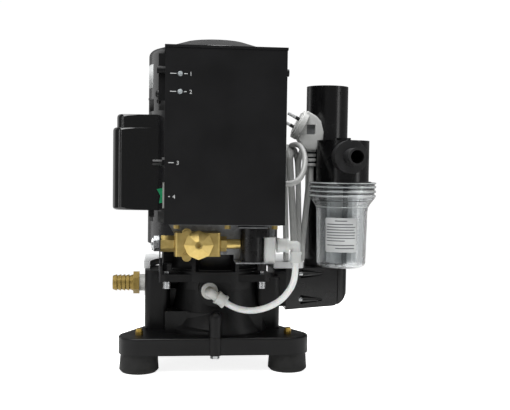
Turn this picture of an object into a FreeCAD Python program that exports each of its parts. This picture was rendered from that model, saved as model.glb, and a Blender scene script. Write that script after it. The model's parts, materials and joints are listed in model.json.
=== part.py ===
import FreeCAD, Part
import math
import os
import Sketcher
from FreeCAD import Placement, Rotation, Vector

# Dental vacuum pump: a vertical motor on a liquid ring pump, with its control box, water valve
# row, suction filter and mains cord. Millimetres, +Z up, front of the control box facing -Y.
# Sizes are measured from the pump axis, and axis_x and axis_y place that axis in the part's frame.
SIZES = {
    "axis_x": -39.0,
    "axis_y": 7.0,
    # feet and base
    "foot_circle": 110.0,
    "foot_r": 25.0,
    "foot_top_r": 23.5,
    "foot_tall": 24.0,
    "foot_edge": 3.0,
    "foot_recess_r": 9.0,
    "foot_recess_deep": 8.0,
    "foot_bolt_r": 4.0,
    "foot_nut_r": 4.8,
    "foot_nut_tall": 5.0,
    "foot_stud_over": 3.0,
    "base_thick": 22.0,
    "corner_r": 26.0,
    "base_edge": 2.5,
    "boss_y": -76.0,
    "base_boss_r": 9.0,
    "case_boss_r": 8.0,
    "case_boss_tall": 25.0,
    "base_bolt_r": 3.0,
    "base_bolt_head_r": 5.8,
    "base_bolt_head": 4.5,
    "base_bolt_up": 38.0,
    # pump casing
    "case_low_r": 69.0,
    "case_low_tall": 5.0,
    "case_mid_r": 58.0,
    "case_mid_tall": 27.0,
    "case_flare_tall": 8.0,
    "case_tall": 68.0,
    "barrel_r": 53.0,
    "barrel_x": 6.0,
    "column_out": 89.5,
    "column_wide": 33.0,
    "column_front": 24.0,
    "column_back": 34.0,
    "column_tall": 78.0,
    "column_top_wide": 18.0,
    "column_edge": 9.0,
    "lug_in": 60.0,
    "lug_out": 84.0,
    "lug_front": 46.0,
    "lug_tall": 28.0,
    "lug_edge": 3.0,
    "pad_r": 21.0,
    "pad_face_y": -60.0,
    "pad_drop": 11.0,
    "ring_r": 43.0,
    "ring_floor": 14.0,
    "water_bore_r": 4.0,
    "port_out": 101.0,
    "port_front": 2.0,
    "port_back": 78.0,
    "port_tall": 53.0,
    "port_bore_r": 13.0,
    "port_in": 85.0,
    "port_y": 26.0,
    "port_drop": 30.0,
    "port_web_drop": 14.0,
    "port_edge": 4.0,
    # cover plate of the pump
    "cover_r": 67.0,
    "cover_thick": 13.0,
    "ear_x": 61.0,
    "ear_y": 50.0,
    "ear_r": 10.0,
    "ear_thick": 9.5,
    "cover_bolt_r": 3.0,
    "cover_head_r": 5.0,
    "cover_head": 9.5,
    # support plate round the motor foot
    "plate_thick": 8.5,
    "plate_gap": 0.8,
    "plate_left": -91.0,
    "plate_right": 125.0,
    "plate_front": 0.0,
    "plate_back": 98.0,
    "plate_edge": 6.0,
    # motor
    "adapter_r": 82.5,
    "adapter_tall": 33.0,
    "adapter_bore_r": 38.0,
    "motor_r": 86.5,
    "motor_wall": 3.0,
    "shell_over": 6.0,
    "dome_tall": 27.0,
    "dome_wall": 3.0,
    "dome_shoulder_up": 4.7,
    "dome_step_r": 80.0,
    "dome_step_up": 13.0,
    "dome_shoulder_r": 8.5,
    "dome_flat_r": 41.0,
    "dome_flat_up": 25.2,
    "stator_bore_r": 44.0,
    "stator_over": 45.0,
    "stator_tall": 110.0,
    "coil_r": 74.0,
    "coil_bore_r": 50.0,
    "coil_end": 24.0,
    "rotor_r": 43.2,
    "shaft_r": 11.0,
    "shaft_under": 2.0,
    "shaft_over": 4.0,
    "bearing_r": 24.0,
    "bearing_tall": 14.0,
    "low_bearing_up": 13.0,
    "bearing_over": 5.0,
    "spider_tall": 5.0,
    "running_gap": 0.05,
    "fan_r": 66.0,
    "fan_hub_r": 20.0,
    "fan_over": 8.0,
    "fan_tall": 22.0,
    "fan_disc": 3.0,
    "fan_blades": 9,
    "fan_blade": 2.5,
    "impeller_r": 37.0,
    "impeller_hub_r": 17.0,
    "impeller_up": 8.0,
    "impeller_tall": 38.0,
    "impeller_disc": 4.0,
    "impeller_blade": 3.0,
    "impeller_blades": 11,
    "seal_r": 16.0,
    "seal_under": 6.0,
    # capacitor cover on the left
    "cap_out": -131.0,
    "cap_in": -70.0,
    "cap_y": -10.0,
    "cap_half": 36.0,
    "cap_corner": 16.0,
    "cap_low": 204.0,
    "cap_high": 326.0,
    "cap_wall": 2.5,
    "cap_step": 15.0,
    "cap_edge": 5.0,
    "cap_step_in": 4.0,
    "capacitor_r": 15.0,
    "capacitor_tall": 84.0,
    "capacitor_x": -108.0,
    "capacitor_apart": 33.0,
    # control box
    "box_left": -65.5,
    "box_right": 75.5,
    "box_front": -150.0,
    "box_back": -89.0,
    "box_low": 193.5,
    "box_high": 400.0,
    "box_wall": 1.5,
    "box_lid_lip": 3.0,
    "box_lid_out": 0.8,
    "back_thick": 2.0,
    "tray_lip": 12.0,
    "rail_wide": 16.0,
    "rail_off": 44.0,
    "rail_low": 230.0,
    "rail_tall": 120.0,
    "side_screw_z": 377.0,
    "side_screw_y": -95.0,
    "side_screw_r": 4.5,
    "side_screw_head": 10.0,
    "lamp_x": -48.5,
    "lamp_high_z": 367.0,
    "lamp_low_z": 346.5,
    "lamp_r": 2.9,
    "lamp_out": 1.8,
    "lamp_back": 9.0,
    "hex_screw_r": 3.6,
    "hex_screw_head": 4.5,
    "hex_screw_shank_r": 2.0,
    "hex_screw_y": -130.0,
    "hex_screw_left_x": -50.6,
    "hex_screw_mid_x": 9.6,
    "hex_screw_right_x": 66.0,
    "side_y": -112.0,
    "switch_z": 226.0,
    "switch_tall": 26.0,
    "switch_wide": 15.0,
    "switch_flange": 2.0,
    "switch_rim": 2.0,
    "switch_deep": 16.0,
    "rocker_gap": 0.4,
    "rocker_r": 10.5,
    "rocker_x": -67.0,
    "rocker_tip_out": 6.0,
    "rocker_tip_up": 8.5,
    "rocker_mid_out": 3.0,
    "rocker_back": 9.5,
    "rocker_wide": 10.2,
    "rocker_lean": 10.0,
    "pin_r": 1.5,
    "pin_gap": 0.08,
    "protector_z": 265.0,
    "protector_r": 6.5,
    "protector_barrel_r": 5.5,
    "protector_nut": 3.0,
    "protector_deep": 20.0,
    "button_r": 3.6,
    "button_gap": 0.35,
    "button_out": 11.0,
    "button_tail": 8.0,
    "button_travel": 3.0,
    "board_wide": 90.0,
    "board_tall": 120.0,
    "board_thick": 1.6,
    "board_stand": 8.0,
    "board_low": 240.0,
    "post_r": 3.5,
    "relay_wide": 30.0,
    "relay_tall": 22.0,
    "relay_deep": 16.0,
    # valve row under the box
    "row_y": -118.0,
    "row_drop": 25.0,
    "sheet": 1.5,
    "hanger_y": -99.0,
    "hanger_left": -60.0,
    "hanger_right": 72.0,
    "hanger_slope": 22.0,
    "hanger_drop": 15.0,
    "shelf_drop": 22.5,
    "shelf_left": 20.0,
    "shelf_right": 66.0,
    "shelf_front": -133.0,
    "inlet_strip_x": -70.0,
    "inlet_strip_over": 16.0,
    "inlet_foot_tall": 16.0,
    "nipple_left": -80.0,
    "nipple_r": 5.0,
    "nipple_bore_r": 3.0,
    "inlet_hex_r": 9.8,
    "inlet_hex_right": -53.0,
    "brass_right": 1.7,
    "brass_half": 14.0,
    "brass_edge": 4.0,
    "bonnet_x": -24.5,
    "bonnet_r": 17.5,
    "bonnet_tip_r": 5.0,
    "bonnet_base": 4.0,
    "bonnet_tall": 5.0,
    "bonnet_hole_r": 2.6,
    "lug_x": -38.5,
    "lug_off": 14.0,
    "lug_r": 5.6,
    "lug_out": 2.0,
    "lug_screw_r": 3.4,
    "lug_screw_head": 2.4,
    "plug_hex_r": 9.2,
    "plug_hex_right": 9.4,
    "plug_r": 5.8,
    "coil_x": 40.0,
    "coil_body_r": 14.2,
    "coil_up": 20.0,
    "coil_collar": 11.0,
    "coil_collar_right": 20.5,
    "yoke_thick": 1.5,
    "yoke_half": 17.0,
    "core_r": 5.0,
    "body_right": 68.2,
    "body_half": 12.0,
    "body_edge": 5.0,
    "straight_right": 84.6,
    "straight_r": 8.2,
    "ring_out": 0.8,
    "ring_tall": 3.0,
    "straight_left": 70.6,
    "straight_neck_r": 5.4,
    "elbow_x": 94.0,
    "elbow_r": 5.4,
    "elbow_drop": 1.4,
    "elbow_collar_r": 6.5,
    "elbow_collar_drop": 8.0,
    "elbow_collar_tall": 13.0,
    "elbow_neck_r": 5.2,
    # seal water tube and the fitting on the pump
    "tube_r": 4.0,
    "tube_lead": 13.0,
    "pump_elbow_x": -7.0,
    "pump_ring_r": 10.6,
    "pump_ring_deep": 5.0,
    "pump_neck_r": 6.0,
    "pump_collar_r": 7.7,
    "pump_collar_long": 13.0,
    "pump_collar_off": 10.0,
    "pump_elbow_y": -76.0,
    "pump_elbow_drop": 33.0,
    # discharge barb on the left
    "barb_drop": 9.0,
    "barb_tip": -132.0,
    "barb_hex_left": -105.0,
    "barb_hex_right": -97.0,
    "barb_r": 9.6,
    "barb_ridge": 1.2,
    "barb_ridges": 5,
    "barb_bore_r": 7.2,
    "passage_r": 8.2,
    "barb_hex_r": 14.8,
    "bush_r": 11.0,
    "bush_spigot_r": 9.0,
    "bush_deep": 12.0,
    # inlet chamber and suction pipe on the right
    "chamber_right": 187.5,
    "chamber_side_edge": 12.0,
    "chamber_front": 6.0,
    "chamber_back": 74.0,
    "chamber_tall": 58.0,
    "chamber_rise": 5.0,
    "chamber_corner": 24.0,
    "chamber_wall": 5.0,
    "chamber_split": 170.5,
    "split_gap": 3.4,
    "split_deep": 2.5,
    "pocket_high_drop": 8.5,
    "pocket_low_drop": 44.0,
    "pocket_left": 122.0,
    "pocket_right": 152.0,
    "pocket_r": 6.3,
    "pocket_deep": 7.0,
    "chamber_screw_r": 3.4,
    "pipe_x": 161.0,
    "pipe_y": 40.0,
    "pipe_r": 29.0,
    "pipe_wall": 3.5,
    "pipe_top": 374.0,
    "pipe_sink": 3.0,
    "pipe_plug": 6.0,
    # suction filter in front of the pipe
    "filter_x": 166.0,
    "filter_y": -45.0,
    "head_r": 34.0,
    "head_under": 31.5,
    "head_over": 21.5,
    "head_wall": 4.0,
    "head_top": 6.0,
    "stub_top_r": 10.0,
    "stub_tall": 3.5,
    "filter_nipple_r": 12.0,
    "filter_nipple_bore": 8.0,
    "nozzle_z": 275.5,
    "nozzle_disc_r": 21.0,
    "nozzle_disc_y": -95.0,
    "nozzle_tip_y": -127.0,
    "nozzle_r": 10.8,
    "nozzle_bore_r": 8.2,
    "head_port_r": 9.0,
    "bowl_flange_r": 44.0,
    "bowl_flange_drop": 16.0,
    "bowl_under_head": 1.0,
    "bowl_taper_drop": 30.0,
    "bowl_r": 33.0,
    "bowl_low_r": 31.5,
    "bowl_drop": 112.5,
    "bowl_bottom_r": 22.0,
    "bowl_bottom_step": 4.0,
    "bowl_wall": 3.0,
    "collar_r": 37.5,
    "collar_tall": 4.0,
    "bowl_gap": 0.5,
    "bowl_step_drop": 7.3,
    "screen_r": 20.0,
    "screen_wall": 1.2,
    "screen_tall": 93.0,
    "seal_ring_tall": 3.0,
    "seal_ring_half": 2.0,
    # mains cord
    "cord_r": 3.6,
    "cord_lead_out": 18.0,
    "gland_y": -112.0,
    "gland_z": 241.0,
    "gland_plate": 2.0,
    "gland_half": 11.0,
    "gland_half_tall": 14.0,
    "gland_r": 7.0,
    "gland_out": 9.0,
    "hank_x": 108.5,
    "hank_y": 5.0,
    "hank_half": 15.5,
    "hank_deep": 25.0,
    "hank_high": 286.0,
    "hank_edge": 7.0,
    "plug_x": 117.6,
    "plug_y": -5.5,
    "plug_z": 316.7,
    "plug_half": 11.5,
    "plug_slot": 9.5,
    "plug_slot_tall": 12.0,
    "plug_slot_deep": 5.0,
    "relief_x": 131.0,
    "relief_core_r": 5.0,
    "relief_step": 6.4,
    "relief_ring": 3.6,
    "plug_disc_r": 20.0,
    "plug_disc": 7.0,
    "plug_lean": 28.0,
    "plug_neck_r": 6.4,
    "plug_neck": 24.0,
    "pin_long": 19.0,
    "plug_pin_r": 2.4,
    "pin_apart": 5.3,
    "pin_side": 7.9,
}

doc = FreeCAD.newDocument("vacuum_pump")
sheet = doc.addObject("Spreadsheet::Sheet", "sizes")
for row, (name, value) in enumerate(SIZES.items(), 1):
    sheet.set(f"A{row}", name)
    sheet.set(f"B{row}", str(value))
    sheet.setAlias(f"B{row}", name)
doc.recompute()


class Size:
    """A length with its value now and the expression that keeps it bound to the sheet."""

    def __init__(self, value, text):
        self.value = float(value)
        self.text = text

    def __add__(self, other):
        other = as_size(other)
        return Size(self.value + other.value, f"({self.text} + {other.text})")

    def __sub__(self, other):
        other = as_size(other)
        return Size(self.value - other.value, f"({self.text} - {other.text})")

    def __mul__(self, other):
        other = as_size(other)
        return Size(self.value * other.value, f"({self.text} * {other.text})")

    def __truediv__(self, other):
        other = as_size(other)
        return Size(self.value / other.value, f"({self.text} / {other.text})")

    def __neg__(self):
        return Size(-self.value, f"(-{self.text})")

    def __radd__(self, other):
        return as_size(other) + self

    def __rsub__(self, other):
        return as_size(other) - self

    def __rmul__(self, other):
        return as_size(other) * self


class Table:
    """Reads a named size from the sheet."""

    def __getattr__(self, name):
        return Size(getattr(sheet, name), f"sizes.{name}")


def as_size(number):
    return number if isinstance(number, Size) else Size(number, repr(float(number)))


s = Table()
NODES = []
Z_AXIS = Vector(0, 0, 1)
TURNS = {
    "Z": (Z_AXIS, 0),
    "X": (Vector(0, 1, 0), 90),
    "-X": (Vector(0, 1, 0), -90),
    "Y": (Vector(1, 0, 0), -90),
    "-Y": (Vector(1, 0, 0), 90),
}


def bind(piece, **sizes):
    for name, size in sizes.items():
        piece.setExpression(name, as_size(size).text)
    return piece


def place(piece, x, y, z, along="Z", turn=None):
    """Put a piece at x, y, z from the pump axis, turned so that its own Z runs along an axis."""
    axis, angle = turn or TURNS[along]
    piece.Placement = Placement(Vector(), Rotation(axis, angle))
    for name, size in zip("xyz", (s.axis_x + x, s.axis_y + y, as_size(z))):
        piece.setExpression(f"Placement.Base.{name}", size.text)
    return piece


def cylinder(x, y, z, r, tall, along="Z", turn=None):
    piece = bind(doc.addObject("Part::Cylinder", "round"), Radius=r, Height=tall)
    return place(piece, x, y, z, along, turn)


def cone(x, y, z, r_start, r_end, tall, along="Z", turn=None):
    piece = bind(doc.addObject("Part::Cone", "taper"), Radius1=r_start, Radius2=r_end, Height=tall)
    return place(piece, x, y, z, along, turn)


def ball(x, y, z, r):
    return place(bind(doc.addObject("Part::Sphere", "ball"), Radius=r), x, y, z)


def block(x_low, y_low, z_low, x_high, y_high, z_high):
    """A block between two corners."""
    x_low, y_low, z_low = as_size(x_low), as_size(y_low), as_size(z_low)
    piece = doc.addObject("Part::Box", "block")
    bind(piece, Length=x_high - x_low, Width=y_high - y_low, Height=z_high - z_low)
    return place(piece, x_low, y_low, z_low)


def hexagon(x, y, z, r, tall, along="Z", sides=6):
    piece = doc.addObject("Part::Prism", "prism")
    piece.Polygon = sides
    bind(piece, Circumradius=r, Height=tall)
    return place(piece, x, y, z, along)


def fuse(pieces):
    joined = doc.addObject("Part::MultiFuse", "joined")
    joined.Shapes = pieces
    return joined


def cut(base, tools):
    result = doc.addObject("Part::Cut", "cut")
    result.Base = base
    result.Tool = tools[0] if len(tools) == 1 else fuse(tools)
    return result


def shared(pieces):
    """The space that pieces have in common."""
    item = doc.addObject("Part::MultiCommon", "shared")
    item.Shapes = pieces
    return item


def bundle(pieces):
    group = doc.addObject("Part::Compound", "set")
    group.Links = pieces
    return group


def node(label, piece):
    """Name a finished sub-part."""
    piece.Label = label
    NODES.append(piece)
    return piece


def new_body(x=0, y=0, z=0, along="Z", turn=None):
    return place(doc.addObject("PartDesign::Body", "body"), x, y, z, along, turn)


def empty_sketch(body, role, offset):
    sketch = body.newObject("Sketcher::SketchObject", "sketch")
    planes = [item for item in body.Origin.OriginFeatures if item.Role == role]
    sketch.AttachmentSupport = [(planes[0], "")]
    sketch.MapMode = "FlatFace"
    if offset is not None:
        sketch.setExpression("AttachmentOffset.Base.z", as_size(offset).text)
    return sketch


def fix(sketch, kind, size, *ends):
    index = sketch.addConstraint(Sketcher.Constraint(kind, *ends, as_size(size).value))
    sketch.setExpression(f"Constraints[{index}]", as_size(size).text)


def outline(body, points, role="XY_Plane", offset=None):
    """A closed outline. A point's third value is the radius of the arc that arrives there, bulging out."""
    sketch = empty_sketch(body, role, offset)
    corners = [[as_size(number) for number in point] for point in points]
    flat = [Vector(corner[0].value, corner[1].value, 0) for corner in corners]
    starts = []
    for index, start in enumerate(flat):
        after = (index + 1) % len(flat)
        end = flat[after]
        if len(corners[after]) == 3:
            radius = corners[after][2].value
            chord = end.sub(start)
            out = Vector(chord.y, -chord.x, 0).normalize()
            rise = math.sqrt(max(radius ** 2 - (chord.Length / 2) ** 2, 0))
            crown = (start + end) * 0.5 + out * (radius - rise)
            curve = Part.Arc(start, crown, end)
        else:
            curve = Part.LineSegment(start, end)
        sketch.addGeometry(curve, False)
        near = sketch.Geometry[index].StartPoint.distanceToPoint(start) < 1e-6
        starts.append((1, 2) if near else (2, 1))
    for index, (first, last) in enumerate(starts):
        after = (index + 1) % len(flat)
        sketch.addConstraint(Sketcher.Constraint("Coincident", index, last, after, starts[after][0]))
        fix(sketch, "DistanceX", corners[index][0], -1, 1, index, first)
        fix(sketch, "DistanceY", corners[index][1], -1, 1, index, first)
        if len(corners[after]) == 3:
            fix(sketch, "Radius", corners[after][2], index)
    return sketch


def discs(body, circles, role="XY_Plane", offset=None):
    """A sketch of whole circles, each with its centre and radius."""
    sketch = empty_sketch(body, role, offset)
    for index, (x, y, r) in enumerate(circles):
        centre = Vector(as_size(x).value, as_size(y).value, 0)
        sketch.addGeometry(Part.Circle(centre, Z_AXIS, as_size(r).value), False)
        fix(sketch, "DistanceX", x, -1, 1, index, 3)
        fix(sketch, "DistanceY", y, -1, 1, index, 3)
        fix(sketch, "Radius", r, index)
    return sketch


def pad(body, sketch, tall, back=False):
    feature = body.newObject("PartDesign::Pad", "pad")
    feature.Profile = sketch
    feature.Reversed = back
    return bind(feature, Length=tall)


def pocket(body, sketch, deep, back=False):
    feature = body.newObject("PartDesign::Pocket", "pocket")
    feature.Profile = sketch
    feature.Reversed = back
    return bind(feature, Length=deep)


def turned(points, x=0, y=0, z=0, along="Z", turn=None):
    """A body of revolution from points of radius and height."""
    body = new_body(x, y, z, along, turn)
    sketch = outline(body, points, "XZ_Plane")
    feature = body.newObject("PartDesign::Revolution", "turned")
    feature.Profile = sketch
    feature.ReferenceAxis = (sketch, ["V_Axis"])
    feature.Angle = 360
    return body


def around(body, feature, count):
    """Repeat a body's feature around its own Z axis."""
    pattern = body.newObject("PartDesign::PolarPattern", "around")
    pattern.Originals = [feature]
    axes = [item for item in body.Origin.OriginFeatures if item.Role == "Z_Axis"]
    pattern.Axis = (axes[0], [""])
    pattern.Angle = 360
    bind(pattern, Occurrences=count)
    body.Tip = pattern
    return pattern


def soften(body, radius, chosen):
    """Fillet the edges of a body that a test picks."""
    doc.recompute()
    base = body.Tip
    names = [f"Edge{i}" for i, edge in enumerate(base.Shape.Edges, 1) if chosen(edge)]
    feature = body.newObject("PartDesign::Fillet", "soft")
    feature.Base = (base, names)
    return bind(feature, Radius=radius)


def soft_rectangle(x_low, y_low, x_high, y_high, r):
    """The outline of a rectangle with round corners."""
    return [
        (x_low + r, y_low, r),
        (x_high - r, y_low),
        (x_high, y_low + r, r),
        (x_high, y_high - r),
        (x_high - r, y_high, r),
        (x_low + r, y_high),
        (x_low, y_high - r, r),
        (x_low, y_low + r),
    ]


def soft_block(x_low, y_low, z_low, x_high, y_high, z_high, r):
    """A block with round upright edges."""
    body = new_body(0, 0, z_low)
    pad(body, outline(body, soft_rectangle(x_low, y_low, x_high, y_high, r)), z_high - z_low)
    return body


def third(number):
    """The direction of the foot with this number, as cosine and sine."""
    angle = math.radians(90 + 120 * number)
    return math.cos(angle), math.sin(angle)


# Heights that follow from one another, from the floor up.
base_top = s.foot_tall + s.base_thick
case_top = base_top + s.case_tall
cover_top = case_top + s.cover_thick
plate_low = base_top + s.column_tall
plate_top = plate_low + s.plate_thick
ring_low = base_top + s.ring_floor
impeller_low = ring_low + s.impeller_up
shaft_low = impeller_low - s.shaft_under
seal_low = case_top - s.seal_under
pad_z = case_top - s.pad_drop
barb_z = case_top - s.barb_drop
port_low = plate_low - s.port_tall
port_z = plate_low - s.port_drop
port_web_high = case_top - s.port_web_drop
chamber_low = plate_low - s.chamber_tall
adapter_top = cover_top + s.adapter_tall
low_bearing_z = cover_top + s.low_bearing_up
stator_low = adapter_top + s.stator_over
top_bearing_z = stator_low + s.stator_tall + s.coil_end + s.bearing_over
fan_low = top_bearing_z + s.bearing_tall + s.fan_over
shaft_top = fan_low + s.fan_tall + s.shaft_over
shell_top = shaft_top + s.shell_over
dome_top = shell_top + s.dome_tall

# Heights of the valve row under the control box.
row_z = s.box_low - s.row_drop
shelf_z = row_z - s.shelf_drop
hanger_low = row_z - s.hanger_drop
coil_high = row_z + s.coil_up
elbow_z = row_z - s.elbow_drop
collar_top = elbow_z - s.elbow_collar_drop
elbow_low = collar_top - s.elbow_collar_tall

# Heights of the suction filter, from its nozzle.
head_low = s.nozzle_z - s.head_under
head_high = s.nozzle_z + s.head_over
collar_low = head_low - s.collar_tall
bowl_low = head_low - s.bowl_drop
screen_low = head_low - s.screen_tall

FOOT_PLACES = [(s.foot_circle * third(i)[0], s.foot_circle * third(i)[1]) for i in range(3)]
BASE_BOLTS = [(s.boss_y * third(i)[0], s.boss_y * third(i)[1]) for i in range(3)]
EARS = [(s.ear_x * i, s.ear_y * j) for i in (-1, 1) for j in (-1, 1)]


def make_base():
    """Cast three-cornered base with its bolt bosses."""
    body = new_body(0, 0, s.foot_tall)
    points = []
    for i in range(3):
        for side in (-60, 60):
            normal = math.radians(90 + 120 * i + side)
            x = FOOT_PLACES[i][0] + s.corner_r * math.cos(normal)
            y = FOOT_PLACES[i][1] + s.corner_r * math.sin(normal)
            points.append((x, y) if side < 0 else (x, y, s.corner_r))
    pad(body, outline(body, points), s.base_thick)
    soften(body, s.base_edge, lambda edge: edge.CenterOfMass.z > s.base_thick.value - 0.01)
    pad(body, discs(body, [(x, y, s.base_boss_r) for x, y in BASE_BOLTS]), s.base_thick)
    holes = [(x, y, s.foot_bolt_r) for x, y in FOOT_PLACES]
    holes += [(x, y, s.base_bolt_r) for x, y in BASE_BOLTS]
    pocket(body, discs(body, holes), s.base_thick, back=True)
    node("base_plate", body)


def make_feet():
    """Rubber feet, each with a recess for the head of its bolt."""
    feet = []
    bolts = []
    for x, y in FOOT_PLACES:
        feet.append(turned([
            (s.foot_bolt_r, s.foot_recess_deep),
            (s.foot_recess_r, s.foot_recess_deep),
            (s.foot_recess_r, 0),
            (s.foot_r - s.foot_edge, 0),
            (s.foot_r, s.foot_edge),
            (s.foot_top_r, s.foot_tall),
            (s.foot_bolt_r, s.foot_tall),
        ], x, y))
        stud_tall = base_top + s.foot_nut_tall + s.foot_stud_over - s.foot_recess_deep
        bolts.append(fuse([
            cylinder(x, y, s.foot_recess_deep, s.foot_bolt_r, stud_tall),
            hexagon(x, y, s.foot_recess_deep - s.foot_nut_tall, s.foot_nut_r, s.foot_nut_tall),
            hexagon(x, y, base_top, s.foot_nut_r, s.foot_nut_tall),
        ]))
    node("rubber_feet", bundle(feet))
    node("foot_bolts", bundle(bolts))


def make_base_bolts():
    bolts = []
    for x, y in BASE_BOLTS:
        bolts.append(fuse([
            hexagon(x, y, s.foot_tall - s.base_bolt_head, s.base_bolt_head_r, s.base_bolt_head),
            cylinder(x, y, s.foot_tall, s.base_bolt_r, s.base_bolt_up),
        ]))
    node("base_bolts", bundle(bolts))


def make_casing():
    """Pump casing: a low round body, an off-centre barrel, side columns, lugs, ports and bosses."""
    low_round = new_body(0, 0, base_top)
    pad(low_round, discs(low_round, [(0, 0, s.case_low_r)]), s.case_low_tall)
    pad(low_round, discs(low_round, [(x, y, s.case_boss_r) for x, y in BASE_BOLTS]), s.case_boss_tall)
    barrel = cylinder(s.barrel_x, 0, base_top, s.barrel_r, s.case_tall)
    boss_tops = [ball(x, y, base_top + s.case_boss_tall, s.case_boss_r) for x, y in BASE_BOLTS]
    flare = cone(0, 0, base_top + s.case_low_tall, s.case_low_r, s.case_mid_r, s.case_flare_tall)
    middle = cylinder(0, 0, base_top, s.case_mid_r, s.case_mid_tall)
    column_top = base_top + s.column_tall
    left = soft_block(-s.column_out, -s.column_front, base_top, s.column_wide - s.column_out,
                      s.column_back, column_top, s.column_edge)
    right = soft_block(s.column_out - s.column_wide, -s.column_front, base_top, s.column_out,
                       s.column_back, case_top, s.column_edge)
    web = block(-s.column_out + s.column_edge, 0, base_top, s.column_out - s.column_edge,
                s.column_back - s.column_edge, case_top)
    lugs = [soft_block(x_low, -s.lug_front, base_top, x_high, 0, base_top + s.lug_tall, s.lug_edge)
            for x_low, x_high in ((-s.lug_out, -s.lug_in), (s.lug_in, s.lug_out))]
    pad_disc = cylinder(0, 0, pad_z, s.pad_r, -s.pad_face_y, "-Y")
    flange = new_body(s.port_in, 0, 0, "X")
    flange_outline = soft_rectangle(-plate_low + s.port_edge, s.port_front, -port_low, s.port_back,
                                    s.port_edge)
    pad(flange, outline(flange, flange_outline), s.port_out - s.port_in)
    port_web = block(s.barrel_x, s.port_front, port_low, s.port_in, s.port_back - s.port_edge,
                     port_web_high)
    solid = fuse([low_round, flare, middle, barrel, left, right, web, *lugs, *boss_tops, pad_disc, flange, port_web])
    tools = [
        cylinder(0, 0, ring_low, s.ring_r, s.case_tall),
        block(s.column_top_wide - s.column_out, -s.column_out, case_top, s.port_in, s.column_out + s.port_back,
              column_top + s.port_edge),
        cylinder(-s.column_out, 0, barb_z, s.passage_r, s.column_out, "X"),
        cylinder(-s.column_out, 0, barb_z, s.bush_spigot_r, s.bush_deep, "X"),
        cylinder(s.port_out, s.port_y, port_z, s.port_bore_r, s.port_out - s.barrel_x - s.pad_r, "-X"),
        cylinder(s.pump_elbow_x, s.pad_face_y, pad_z, s.water_bore_r, -s.pad_face_y, "Y"),
    ]
    tools += [cylinder(x, y, base_top, s.base_bolt_r, s.foot_tall + s.base_bolt_up - base_top)
              for x, y in BASE_BOLTS]
    node("pump_casing", cut(solid, tools))


def make_cover():
    """Cover of the pump, with a square flange that its bolts pass from below."""
    body = new_body(0, 0, case_top)
    flange = soft_rectangle(-s.ear_x - s.ear_r, -s.ear_y - s.ear_r, s.ear_x + s.ear_r, s.ear_y + s.ear_r,
                            s.ear_r)
    pad(body, outline(body, flange), s.ear_thick)
    pad(body, discs(body, [(0, 0, s.cover_r)]), s.cover_thick)
    holes = [(0, 0, s.seal_r)] + [(x, y, s.cover_bolt_r) for x, y in EARS]
    pocket(body, discs(body, holes), s.cover_thick, back=True)
    node("pump_cover", body)
    bolts = []
    for x, y in EARS:
        head = cylinder(x, y, case_top - s.cover_head, s.cover_head_r, s.cover_head)
        socket = hexagon(x, y, case_top - s.cover_head, s.cover_bolt_r, s.cover_head / 2)
        bolts.append(fuse([cut(head, [socket]),
                           cylinder(x, y, case_top, s.cover_bolt_r, s.cover_thick + s.cover_head)]))
    node("casing_bolts", bundle(bolts))
    node("mechanical_seal", turned([
        (s.shaft_r + s.running_gap, 0),
        (s.seal_r, 0),
        (s.seal_r, cover_top - seal_low),
        (s.shaft_r + s.running_gap, cover_top - seal_low),
    ], 0, 0, seal_low))


def make_impeller():
    """Bladed wheel of the liquid ring pump."""
    body = new_body(0, 0, impeller_low)
    pad(body, discs(body, [(0, 0, s.impeller_r)]), s.impeller_disc)
    pad(body, discs(body, [(0, 0, s.impeller_hub_r)]), s.impeller_tall)
    half = s.impeller_blade / 2
    reach = s.impeller_r - half
    blade = outline(body, [(s.shaft_r, -half), (reach, -half), (reach, half), (s.shaft_r, half)])
    around(body, pad(body, blade, s.impeller_tall), s.impeller_blades)
    pocket(body, discs(body, [(0, 0, s.shaft_r)]), s.impeller_tall, back=True)
    node("impeller", body)


def make_support_plate():
    """Light plate behind the foot of the motor, with an arm on each side."""
    body = new_body(0, 0, plate_low)
    edge = s.plate_edge
    pad(body, outline(body, [
        (s.plate_left, s.plate_front),
        (s.plate_right - edge, s.plate_front),
        (s.plate_right, s.plate_front + edge, edge),
        (s.plate_right, s.plate_back - edge),
        (s.plate_right - edge, s.plate_back, edge),
        (s.plate_left + edge, s.plate_back),
        (s.plate_left, s.plate_back - edge, edge),
    ]), s.plate_thick)
    node("support_plate", cut(body, [cylinder(0, 0, plate_low, s.adapter_r + s.plate_gap, s.plate_thick)]))


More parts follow.
